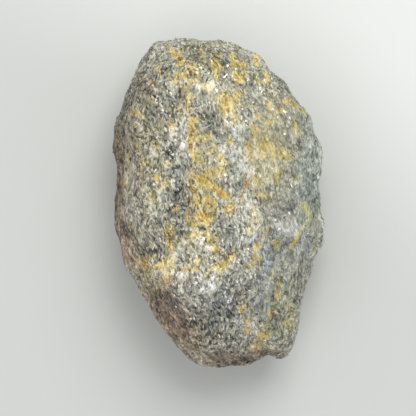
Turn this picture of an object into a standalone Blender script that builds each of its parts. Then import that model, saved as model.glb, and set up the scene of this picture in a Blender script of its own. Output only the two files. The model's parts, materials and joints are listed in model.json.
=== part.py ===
"""A rough emerald as it comes out of the mine: one hand-sized piece of emerald-bearing mica schist.

The stone lies on its back with its best face up. +Z is up, +Y runs along the stone to its broad end, and
the origin is under the middle of the stone, on the surface that it rests on. Blender units are metres, and
the tables below are in millimetres.
"""

from typing import NamedTuple

import bmesh
import bpy
import numpy as np
from mathutils import Matrix, Vector, noise

MM = 0.001

# Driving dimensions of the whole stone.
LENGTH = 59.4 * MM
WIDTH = 38.2 * MM
THICKNESS = 25.0 * MM
TRIANGLES = 9200
SURFACE_GRAIN = 0.36 * MM  # the spacing of the even mesh that the triangles are thinned from

# The drawing of the stone, in millimetres.
WAIST_HEIGHT = 10.8  # where the stone is widest
WAIST_WANDER = 2.8  # how far the widest line strays up and down
WAIST_WAVES = ((2, 0.8, 0.6), (5, 0.0, 0.4))  # its waves in one turn, where they start, and their share
FRONT_CROWN = 0.0020  # how much the face that lies up curves down towards the two ends
WAIST_BAND = 0.50  # how far from the widest line the outline's small corners reach, as a share of the way up
EDGE_FULLNESS = 9.0  # high values keep the faces flat until close to the outline
EDGE_ROUNDNESS = 2.4
ARRIS_ROUNDING = 0.55  # how far one broken face is rounded into the next
PLAIN_WINDOW = 0.22  # how far round, in radians, the outline is averaged away from the widest line
DISH_FADE = 1.2  # high values keep a dish within its half width and half length
LINE_FADE = 1.2  # high values make arrises and ledges fade sooner towards their ends


class BrokenFace(NamedTuple):
    """One broad face, as a plane through a point of the plan, with its rise for each millimetre of x and y."""

    x: float
    y: float
    height: float
    rise_x: float
    rise_y: float


class Dish(NamedTuple):
    """A shallow hollow, or a swelling where the depth is negative, as an ellipse that leans off the y axis."""

    x: float
    y: float
    half_width: float
    half_length: float
    lean: float
    depth: float


class Arris(NamedTuple):
    """A narrow raised edge between two points, or a crease where the height is negative."""

    start: tuple
    end: tuple
    half_width: float
    height: float


class Ledge(NamedTuple):
    """A broken step: the surface drops on the right of the line from start to end, then climbs back."""

    start: tuple
    end: tuple
    drop: float
    climb_over: float


# The outline seen from above, clockwise from the top left corner.
OUTLINE = (
    (-11.9, 28.5), (-10.2, 29.3), (-5.2, 29.7), (-2.6, 29.8), (0.2, 29.4), (2.8, 28.6), (5.9, 27.8),
    (8.1, 26.3), (8.7, 25.2), (9.4, 24.2), (11.3, 23.3), (12.6, 22.0), (13.2, 20.5), (15.2, 17.5),
    (16.5, 15.4), (17.3, 13.4), (18.9, 9.8), (19.0, 7.4), (17.7, 2.9), (18.3, 1.3), (18.2, -2.0),
    (19.1, -3.5), (18.9, -5.1), (18.3, -7.1), (17.2, -8.5), (16.9, -11.6), (15.6, -15.9),
    (14.8, -19.9), (14.4, -23.7), (13.8, -25.8), (12.8, -27.6), (11.6, -28.7), (9.6, -28.1),
    (7.6, -28.3), (5.4, -29.2), (0.5, -29.8), (-2.4, -29.5), (-4.8, -28.3), (-7.9, -25.3),
    (-10.2, -22.2), (-12.2, -18.9), (-13.8, -16.9), (-14.6, -15.2), (-15.3, -13.2), (-17.1, -10.9),
    (-17.5, -8.6), (-18.8, -5.0), (-19.2, -1.0), (-18.6, 2.4), (-18.4, 6.4), (-19.2, 10.4),
    (-19.1, 14.9), (-17.4, 19.6), (-14.6, 24.5),
)

FRONT_FACES = {
    "left of the crest": BrokenFace(-3.4, 5.0, 24.6, 0.21, 0.01),
    "right of the crest": BrokenFace(4.0, 4.0, 24.6, -0.40, -0.02),
    "upper end": BrokenFace(-3.0, 25.4, 22.8, 0.05, -0.95),
    "upper left": BrokenFace(-13.0, 22.4, 20.8, 1.00, -0.50),
    "upper right": BrokenFace(9.0, 19.0, 21.3, -0.52, -0.42),
    "left flank": BrokenFace(-14.9, 4.0, 21.6, 1.60, 0.06),
    "right flank": BrokenFace(16.2, 2.0, 18.6, -2.00, 0.10),
    "lower end": BrokenFace(0.0, -15.0, 24.8, 0.04, 0.32),
    "tip": BrokenFace(1.0, -26.4, 23.2, -0.10, 1.30),
    "lower left": BrokenFace(-11.6, -14.6, 21.2, 1.10, 0.52),
    "lower right": BrokenFace(8.5, -15.0, 21.4, -0.44, 0.16),
}

BACK_FACES = {
    "bed": BrokenFace(1.0, -2.0, 0.55, 0.010, -0.012),
    "left": BrokenFace(-8.2, 0.0, 0.0, -0.66, 0.10),
    "right": BrokenFace(10.4, 0.0, 0.0, 0.52, -0.09),
    "upper end": BrokenFace(0.0, 14.6, 0.0, 0.12, 0.40),
    "lower end": BrokenFace(1.0, -13.5, 0.0, -0.08, -0.10),
    "tip": BrokenFace(0.0, -25.8, 1.0, 0.12, -0.90),
    "upper left": BrokenFace(-6.4, 11.4, 0.0, -0.46, 0.34),
    "lower right": BrokenFace(7.6, -11.0, 0.0, 0.42, -0.22),
    "lower left": BrokenFace(-9.0, -12.6, 0.0, -0.60, -0.14),
}

FRONT_DISHES = {
    "upper dark hollow": Dish(-0.6, 13.3, 2.0, 4.4, 8.0, 0.80),
    "middle dark hollow": Dish(-6.8, 2.7, 1.8, 4.0, -4.0, 1.05),
    "lower left hollow": Dish(-12.4, -8.0, 3.2, 1.7, -20.0, 0.95),
    "left rim hollow": Dish(-17.0, -4.8, 1.6, 2.6, 0.0, 0.9),
    "left rim scoop": Dish(-16.8, 5.0, 1.7, 3.6, 0.0, 0.8),
    "stained trough": Dish(-3.0, 1.0, 3.6, 9.0, 12.0, 0.60),
    "low trough": Dish(1.4, -6.4, 2.4, 3.4, 20.0, 0.75),
    "right slope dish": Dish(9.8, 6.8, 4.2, 6.0, 10.0, 0.85),
    "right slope hollow": Dish(10.8, -1.2, 3.0, 2.8, -20.0, 0.65),
    "blue hollow": Dish(7.6, -8.4, 3.2, 4.2, 30.0, 0.80),
    "upper right dish": Dish(6.4, 19.8, 3.4, 2.6, 30.0, 0.65),
    "white swelling": Dish(-1.1, 19.9, 2.0, 3.0, 10.0, -0.70),
    "white crystal": Dish(-6.6, 10.3, 1.3, 1.7, 12.0, -0.90),
    "pit by the crystal": Dish(-8.3, 9.5, 1.1, 1.3, 20.0, 0.75),
    "crest swelling": Dish(4.6, -3.4, 2.2, 5.0, 14.0, -0.55),
    "bright knob": Dish(-2.6, -7.6, 2.2, 2.4, 0.0, -0.85),
    "break knob": Dish(-1.9, -14.8, 2.8, 1.7, -8.0, -0.75),
    "left break swelling": Dish(-9.6, -12.0, 3.2, 2.0, -14.0, -0.80),
    "left shoulder": Dish(-12.0, 3.4, 2.6, 5.0, 6.0, -0.55),
    "upper left swelling": Dish(-11.4, 18.0, 3.0, 4.0, 20.0, -0.6),
    "upper left chip": Dish(-8.4, 20.6, 1.9, 3.4, 25.0, 0.7),
    "right rim knob": Dish(16.6, -2.8, 1.6, 1.9, 0.0, -1.0),
    "right rim flat": Dish(16.6, 0.0, 1.2, 1.8, 0.0, 0.6),
    "lower dark dish": Dish(-0.6, -20.6, 4.0, 3.4, 10.0, 0.8),
    "lower left chip": Dish(-9.4, -19.4, 1.8, 3.4, 30.0, 0.7),
    "lower right swelling": Dish(9.6, -21.0, 2.0, 4.4, 8.0, -0.55),
    "tip swelling": Dish(-0.6, -26.0, 3.6, 2.4, 0.0, -0.9),
    "pit beside the wedge": Dish(8.3, -27.0, 1.2, 1.1, -35.0, 2.2),
}

FRONT_ARRISES = {
    "crest": Arris((0.4, 23.0), (3.6, 8.0), 1.3, 0.45),
    "lower crest": Arris((3.2, 11.0), (7.8, -7.0), 1.2, 0.55),
    "vein": Arris((6.8, 5.9), (12.8, 7.5), 0.6, 0.35),
    "break on the left": Arris((-14.0, -12.2), (-4.0, -15.8), 1.0, 0.60),
    "break in the middle": Arris((-6.0, -15.4), (2.6, -13.4), 1.0, 0.60),
    "break on the right": Arris((0.0, -12.4), (8.0, -8.8), 0.8, 0.70),
    "knob to rim": Arris((12.6, -5.4), (19.0, -3.4), 0.9, 0.60),
    "crease under the trough": Arris((-2.2, -13.2), (3.2, -8.8), 0.7, -0.65),
    "right slab edge": Arris((12.8, -11.0), (10.2, -28.0), 0.9, 0.45),
    "left rim rib": Arris((-17.4, -0.8), (-12.0, -2.8), 0.9, 0.50),
}

FRONT_LEDGES = {
    "top lobe": Ledge((9.2, 25.2), (1.6, 20.4), 0.75, 2.6),
    "left of the middle hollow": Ledge((-8.6, -3.0), (-8.6, 8.4), 0.60, 2.6),
    "right rim groove": Ledge((11.4, -7.2), (19.4, -5.2), 0.80, 2.2),
    "slope ledge": Ledge((5.8, 15.4), (5.6, 0.0), 0.45, 3.0),
    "lower break": Ledge((-14.0, -13.4), (7.0, -17.4), 0.85, 5.0),
    "lower slab": Ledge((5.2, -11.6), (7.6, -28.0), 0.40, 2.6),
    "wedge": Ledge((11.4, -26.2), (6.0, -25.4), 0.90, 1.6),
    "upper left ledge": Ledge((-9.4, 12.4), (-13.4, 26.0), 0.50, 2.4),
    "left flank ledge": Ledge((-15.0, 14.0), (-15.4, 0.0), 0.50, 2.0),
}

BACK_DISHES = {
    "hollow near the tip": Dish(-5.4, -18.6, 3.6, 5.0, 20.0, 1.1),
    "hollow near the broad end": Dish(5.6, 20.6, 4.6, 3.6, -15.0, 1.0),
    "hollow on the left": Dish(-13.6, 3.0, 2.4, 6.2, 6.0, 0.9),
    "swelling on the right": Dish(13.4, 1.6, 2.6, 6.0, -8.0, -0.8),
    "scoop on the right": Dish(12.4, -13.4, 2.2, 4.2, 12.0, 0.9),
    "bed": Dish(-0.2, 0.4, 6.2, 9.4, 12.0, -2.3),
    "bite out of the bed": Dish(7.4, 7.6, 2.6, 4.0, 30.0, 1.2),
    "dent in the bed": Dish(-6.6, -8.0, 2.2, 3.2, -25.0, 1.0),
}

BACK_LEDGES = {
    "long cleavage step": Ledge((12.0, 19.0), (8.0, -22.0), 0.80, 3.2),
    "short cleavage step": Ledge((-11.4, -16.0), (-9.0, 14.0), 0.70, 2.8),
    "cross step": Ledge((-12.0, 16.6), (9.0, 21.4), 0.65, 2.8),
}

LEDGE_SLANT = 1.2  # how far across a ledge its face runs as it drops

# How the drawn lines above are made to wander: the size of the bends and how far each point strays.
WANDERS = ((9.0, 1.3), (3.4, 0.6))

# The mica lies in sheets, and its blades run along the stone.
LINEATION_LEAN = 12.0  # degrees from +Y towards -X
SHEET_DIP = 13.0  # degrees down towards +X
BLADE_STRETCH = Vector((1.0, 1.75, 0.85))  # across the blades, along them, and through the sheets

# Roughness that covers every face: the size of its lumps and how far they stand out.
LUMPS = ((7.5, 0.60), (3.6, 0.40), (1.9, 0.26))
LUMP_SHIFT = Vector((3.7, 11.2, 5.9))

# Chips broken out of the faces: how far apart their middles are, and how steeply their floors lean.
CHIPS = ((6.2, 0.18), (3.1, 0.17))
CHIP_ROUNDING = 0.17  # how far one chip's floor is rounded into the next
CHIP_SCATTER = 5.3  # high values make the leans of neighbouring chips unlike
CHIP_SHIFT = Vector((41.3, 17.9, 23.1))
SMOOTHING = 0.4  # how far each point moves towards its neighbours at the end
NOISE_SEED = 5

STONE_COLOUR = (0.33, 0.31, 0.25, 1.0)
STONE_ROUGHNESS = 0.62


def clear_scene():
    """Removes every object, so that the file holds only the stone."""
    for old in list(bpy.data.objects):
        bpy.data.objects.remove(old)


def outline_by_bearing(samples_per_span=8):
    """The outline as bearings and radii, smoothed by a Catmull-Rom curve through its points."""
    corners = np.array(OUTLINE)
    before, after = np.roll(corners, 1, axis=0), np.roll(corners, -1, axis=0)
    beyond = np.roll(corners, -2, axis=0)
    spans = []
    for share in np.arange(samples_per_span) / samples_per_span:
        spans.append(
            0.5
            * (
                2 * corners
                + (after - before) * share
                + (2 * before - 5 * corners + 4 * after - beyond) * share**2
                + (3 * corners - before - 3 * after + beyond) * share**3
            )
        )
    curve = np.stack(spans, axis=1).reshape(-1, 2)
    bearings = np.arctan2(curve[:, 1], curve[:, 0])
    order = np.argsort(bearings)
    return bearings[order], np.hypot(curve[:, 0], curve[:, 1])[order]


def plain_outline(bearings, radii, steps=360):
    """The outline's radii with its small corners averaged away."""
    turn = np.linspace(-np.pi, np.pi, steps, endpoint=False)
    even = np.interp(turn, bearings, radii, period=2 * np.pi)
    half = round(PLAIN_WINDOW / (turn[1] - turn[0]))
    total = sum(np.roll(even, step) for step in range(-half, half + 1))
    return turn, total / (2 * half + 1)


def wandering(x, y):
    """The points of the plan moved by a smooth noise, so that the drawn lines bend as broken rock does."""
    moved = np.zeros((len(x), 2))
    for size, stray in WANDERS:
        moved += [
            stray * np.array(noise.noise_vector(Vector((px, py, size**2)) / size)[:2])
            for px, py in zip(x, y)
        ]
    return x + moved[:, 0], y + moved[:, 1]


def faces_height(faces, x, y, sign):
    """The height of the lowest plane (sign 1) or the highest (sign -1) over each point, with rounded meetings."""
    total = np.zeros_like(x)
    for face in faces.values():
        height = face.height + face.rise_x * (x - face.x) + face.rise_y * (y - face.y)
        total += np.exp(-sign * height / ARRIS_ROUNDING)
    return -sign * ARRIS_ROUNDING * np.log(total)


def dish_depth(dish, x, y):
    """How far the dish lowers the surface at each point."""
    lean = np.radians(dish.lean)
    across = (x - dish.x) * np.cos(lean) + (y - dish.y) * np.sin(lean)
    along = (y - dish.y) * np.cos(lean) - (x - dish.x) * np.sin(lean)
    reach = (across / dish.half_width) ** 2 + (along / dish.half_length) ** 2
    return dish.depth * np.exp(-reach * DISH_FADE)


def beside_line(start, end, x, y):
    """(distance to the right of the line from start to end, share of the way along it) for each point."""
    run_x, run_y = end[0] - start[0], end[1] - start[1]
    length = np.hypot(run_x, run_y)
    right = ((x - start[0]) * run_y - (y - start[1]) * run_x) / length
    along = ((x - start[0]) * run_x + (y - start[1]) * run_y) / length**2
    return right, along


def within_ends(along):
    """1 in the middle of a line, falling smoothly to 0 at its two ends."""
    return np.sin(np.clip(along, 0, 1) * np.pi) ** LINE_FADE


def arris_height(arris, x, y):
    """How far the arris raises the surface at each point."""
    right, along = beside_line(arris.start, arris.end, x, y)
    return arris.height * np.exp(-((right / arris.half_width) ** 2)) * within_ends(along)


def ledge_depth(ledge, x, y):
    """How far the ledge lowers the surface at each point."""
    right, along = beside_line(ledge.start, ledge.end, x, y)
    fallen = np.clip(right / LEDGE_SLANT + 0.5, 0, 1)
    climbed = np.exp(-np.clip(right, 0, None) / ledge.climb_over)
    return ledge.drop * fallen * climbed * within_ends(along)


def front_height(x, y):
    """The height of the face that lies up, over each point of the plan."""
    height = faces_height(FRONT_FACES, x, y, 1) - FRONT_CROWN * y**2
    for dish in FRONT_DISHES.values():
        height -= dish_depth(dish, x, y)
    for arris in FRONT_ARRISES.values():
        height += arris_height(arris, x, y)
    for ledge in FRONT_LEDGES.values():
        height -= ledge_depth(ledge, x, y)
    return height


def back_height(x, y):
    """The height of the face that the stone lies on, over each point of the plan."""
    height = faces_height(BACK_FACES, x, y, -1)
    for dish in BACK_DISHES.values():
        height += dish_depth(dish, x, y)
    for ledge in BACK_LEDGES.values():
        height += ledge_depth(ledge, x, y)
    return height


def body_points(directions):
    """Where each direction from the middle of the stone meets its surface, in millimetres."""
    bearing = np.arctan2(directions[:, 1], directions[:, 0])
    reach = np.hypot(directions[:, 0], directions[:, 1])
    known_bearings, known_radii = outline_by_bearing()
    cornered = np.interp(bearing, known_bearings, known_radii, period=2 * np.pi)
    plain = np.interp(bearing, *plain_outline(known_bearings, known_radii), period=2 * np.pi)
    radius = plain + (cornered - plain) * np.exp(-((directions[:, 2] / WAIST_BAND) ** 2))
    x = reach * radius * np.cos(bearing)
    y = reach * radius * np.sin(bearing)
    waves = sum(share * np.sin(bearing * count + start) for count, start, share in WAIST_WAVES)
    waist = WAIST_HEIGHT + WAIST_WANDER * waves
    fullness = np.clip(1 - reach**EDGE_FULLNESS, 0, 1) ** (1 / EDGE_ROUNDNESS)
    bent_x, bent_y = wandering(x, y)
    broken = np.where(directions[:, 2] > 0, front_height(bent_x, bent_y), back_height(bent_x, bent_y))
    return np.stack([x, y, waist + (broken - waist) * fullness], axis=1)


def sheet_frame():
    """The turn from the stone's own axes to those of its mica: across the blades, along them, through the sheets."""
    lean = Matrix.Rotation(np.radians(LINEATION_LEAN), 3, "Z")
    dip = Matrix.Rotation(np.radians(SHEET_DIP), 3, "Y")
    return (lean @ dip).transposed()


def chip_height(place, spacing, lean):
    """The height of the chip's floor at a place: each chip is a small plane with a lean of its own."""
    distances, middles = noise.voronoi(place / spacing)
    height = total = 0.0
    for distance, middle in zip(distances, middles):
        share = np.exp((distances[0] - distance) * spacing / CHIP_ROUNDING)
        height += share * noise.noise_vector(middle * CHIP_SCATTER).dot(place - middle * spacing)
        total += share
    return lean * height / total


def roughness(point, turn):
    """How far the surface stands out at one point, from lumps and from chips broken out of the face."""
    place = Vector(part / stretch for part, stretch in zip(turn @ point, BLADE_STRETCH))
    lumps = sum(height * noise.noise((place + LUMP_SHIFT) / size) for size, height in LUMPS)
    chips = sum(chip_height(place + CHIP_SHIFT, spacing, lean) for spacing, lean in CHIPS)
    return lumps + chips


def fit_to_size(mesh_points):
    """The points over the origin, scaled to the driving dimensions above z = 0, in metres."""
    low, high = mesh_points.min(axis=0), mesh_points.max(axis=0)
    size = np.array([WIDTH, LENGTH, THICKNESS])
    foot = np.array([(low[0] + high[0]) / 2, (low[1] + high[1]) / 2, 0.0])
    return (mesh_points - foot) * size / np.array([high[0] - low[0], high[1] - low[1], high[2]])


def stone_material():
    """The mean colour and shine of the schist."""
    material = bpy.data.materials.new("mica_schist")
    material.use_nodes = True
    surface = material.node_tree.nodes["Principled BSDF"]
    surface.inputs["Base Color"].default_value = STONE_COLOUR
    surface.inputs["Roughness"].default_value = STONE_ROUGHNESS
    surface.inputs["Metallic"].default_value = 0.0
    return material


def rough_shape():
    """The stone as a round shape pushed out to its faces and roughened, in metres, with its bed not yet cut."""
    shape = bmesh.new()
    bmesh.ops.create_icosphere(shape, subdivisions=7, radius=1.0)
    directions = np.array([vertex.co for vertex in shape.verts])
    for vertex, point in zip(shape.verts, body_points(directions)):
        vertex.co = point
    shape.normal_update()
    turn = sheet_frame()
    moves = [vertex.normal * roughness(vertex.co, turn) for vertex in shape.verts]
    for vertex, move in zip(shape.verts, moves):
        vertex.co += move
    bmesh.ops.smooth_vert(
        shape, verts=shape.verts, factor=SMOOTHING, use_axis_x=True, use_axis_y=True, use_axis_z=True
    )
    bmesh.ops.scale(shape, vec=(MM, MM, MM), verts=shape.verts)
    mesh = bpy.data.meshes.new("rough_shape")
    shape.to_mesh(mesh)
    shape.free()
    return mesh


def faceted(mesh):
    """The same form with its folds closed by an even mesh, thinned to the triangles that the stone needs."""
    pattern = bpy.data.objects.new("pattern", mesh)
    bpy.context.scene.collection.objects.link(pattern)
    even = pattern.modifiers.new("Even", "REMESH")
    even.mode = "VOXEL"
    even.voxel_size = SURFACE_GRAIN
    depsgraph = bpy.context.evaluated_depsgraph_get()
    full_count = sum(len(face.vertices) - 2 for face in pattern.evaluated_get(depsgraph).data.polygons)
    thin = pattern.modifiers.new("Thin", "DECIMATE")
    thin.ratio = TRIANGLES / full_count
    depsgraph.update()
    thinned = bpy.data.meshes.new_from_object(pattern.evaluated_get(depsgraph), depsgraph=depsgraph)
    bpy.data.objects.remove(pattern)
    return thinned


def build_stone():
    """The stone as one closed mesh, at its real size and cut flat where it rests."""
    shape = bmesh.new()
    shape.from_mesh(faceted(rough_shape()))
    sized = fit_to_size(np.array([vertex.co for vertex in shape.verts]))
    for vertex, point in zip(shape.verts, sized):
        vertex.co = point
    everything = shape.verts[:] + shape.edges[:] + shape.faces[:]
    cut = bmesh.ops.bisect_plane(
        shape, geom=everything, dist=1e-6, plane_co=(0, 0, 0), plane_no=(0, 0, 1), clear_inner=True
    )
    rim = [piece for piece in cut["geom_cut"] if isinstance(piece, bmesh.types.BMEdge)]
    bmesh.ops.holes_fill(shape, edges=rim)
    bmesh.ops.dissolve_degenerate(shape, dist=1e-6, edges=shape.edges)
    bmesh.ops.recalc_face_normals(shape, faces=shape.faces)
    bmesh.ops.triangulate(shape, faces=shape.faces)

    mesh = bpy.data.meshes.new("rough_stone")
    shape.to_mesh(mesh)
    shape.free()
    mesh.materials.append(stone_material())
    mesh.shade_smooth()
    return bpy.data.objects.new("rough_stone", mesh)


def main():
    clear_scene()
    noise.seed_set(NOISE_SEED)
    collection = bpy.data.collections.new("rough_emerald")
    bpy.context.scene.collection.children.link(collection)
    collection.objects.link(build_stone())


main()
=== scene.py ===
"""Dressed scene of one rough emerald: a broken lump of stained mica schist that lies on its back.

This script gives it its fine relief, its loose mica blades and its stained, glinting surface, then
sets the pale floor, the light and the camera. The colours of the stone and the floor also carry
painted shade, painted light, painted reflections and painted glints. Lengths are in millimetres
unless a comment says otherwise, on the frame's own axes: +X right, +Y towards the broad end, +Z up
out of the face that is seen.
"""

from __future__ import annotations

import json
import logging
import math
import random
from dataclasses import dataclass
from enum import Enum

import bmesh
import bpy
import numpy as np
from mathutils import Matrix
from mathutils import Vector
from mathutils import noise

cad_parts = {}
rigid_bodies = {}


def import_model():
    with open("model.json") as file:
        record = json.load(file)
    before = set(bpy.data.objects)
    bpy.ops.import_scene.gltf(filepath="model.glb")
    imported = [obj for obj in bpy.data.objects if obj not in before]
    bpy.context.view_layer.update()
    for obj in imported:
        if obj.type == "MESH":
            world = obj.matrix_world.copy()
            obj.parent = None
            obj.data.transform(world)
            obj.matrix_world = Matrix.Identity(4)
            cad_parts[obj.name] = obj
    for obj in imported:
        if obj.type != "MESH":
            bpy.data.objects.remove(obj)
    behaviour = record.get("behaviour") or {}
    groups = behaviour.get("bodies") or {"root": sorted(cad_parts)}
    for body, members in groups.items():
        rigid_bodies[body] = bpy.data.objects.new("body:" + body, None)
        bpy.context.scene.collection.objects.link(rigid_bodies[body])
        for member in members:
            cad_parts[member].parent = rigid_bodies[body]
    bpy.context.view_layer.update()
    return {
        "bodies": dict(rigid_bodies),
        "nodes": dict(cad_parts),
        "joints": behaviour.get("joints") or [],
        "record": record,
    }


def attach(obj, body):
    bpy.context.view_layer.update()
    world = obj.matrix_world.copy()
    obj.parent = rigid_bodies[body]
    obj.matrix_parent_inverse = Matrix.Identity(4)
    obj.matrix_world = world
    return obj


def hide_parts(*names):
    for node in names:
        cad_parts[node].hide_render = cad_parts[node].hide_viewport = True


MM = 0.001
STONE_NODE = "rough_stone"
WAIST_HEIGHT = 10.8  # where the stone is widest, above the floor
EYE_HEIGHT = 499.0  # the camera's height above the waist
VIEW_CENTRE = (-1.98, -0.99)  # the point that the camera is straight above
LINEATION_LEAN = 14.0  # degrees that the blades lean from +Y towards -X
SHEET_DIP = 13.0  # degrees that the mica sheets dip towards +X
NOISE_SEED = 7  # starts the noise of the fine relief

log = logging.getLogger("rough_emerald")

Span = tuple[float, float]  # a low and a high value
Size = tuple[float, float, float]  # one length for each axis


class Grain(Enum):
    """Where a finish reads the tone of each grain from."""

    CELLS = "cells"
    BLADES = "blades"


class Zone(Enum):
    """A stain, mineral or state of wear that is laid over the stone in soft marks; some zones also hold
    painted shade, painted light and painted reflections.
    """

    OCHRE = "ochre"
    RUST = "rust"
    PALE = "pale"
    DARK = "dark"
    BROWN = "brown"
    BLUE = "blue"
    GREEN = "green"
    EVEN = "even"
    WASH = "wash"


@dataclass(frozen=True)
class Paint:
    """A colour as it is seen, each channel from 0 to 255."""

    red: int
    green: int
    blue: int

    def linear(self) -> tuple[float, float, float, float]:
        """Turns the colour into light as a shader counts it.

        Returns:
            Linear red, green and blue, and an alpha of 1.
        """
        channels = []
        for seen in (self.red, self.green, self.blue):
            share = seen / 255.0
            channels.append(share / 12.92 if share <= 0.04045 else ((share + 0.055) / 1.055) ** 2.4)
        return (channels[0], channels[1], channels[2], 1.0)


Stops = tuple[tuple[float, Paint], ...]


@dataclass(frozen=True)
class Mark:
    """A soft oval mark on one face: where it is, how far it reaches, its lean and its strength.

    The marks below were set one patch of the stone after another. Each table runs from the
    broad end down, and its numbers are x, y, reach across, reach along, lean in degrees and strength.
    """

    x: float
    y: float
    across: float
    along: float
    lean: float
    strength: float

    def cover(self, points: np.ndarray) -> np.ndarray:
        """Works out how strongly the mark covers each point.

        Args:
            points: One row of x, y and z per point, in millimetres.

        Returns:
            One value per point, from 0 to the mark's strength.
        """
        turn = math.radians(self.lean)
        east = points[:, 0] - self.x
        north = points[:, 1] - self.y
        side = (east * math.cos(turn) + north * math.sin(turn)) / self.across
        length = (north * math.cos(turn) - east * math.sin(turn)) / self.along
        return self.strength * np.exp(-(side**2 + length**2))


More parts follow.
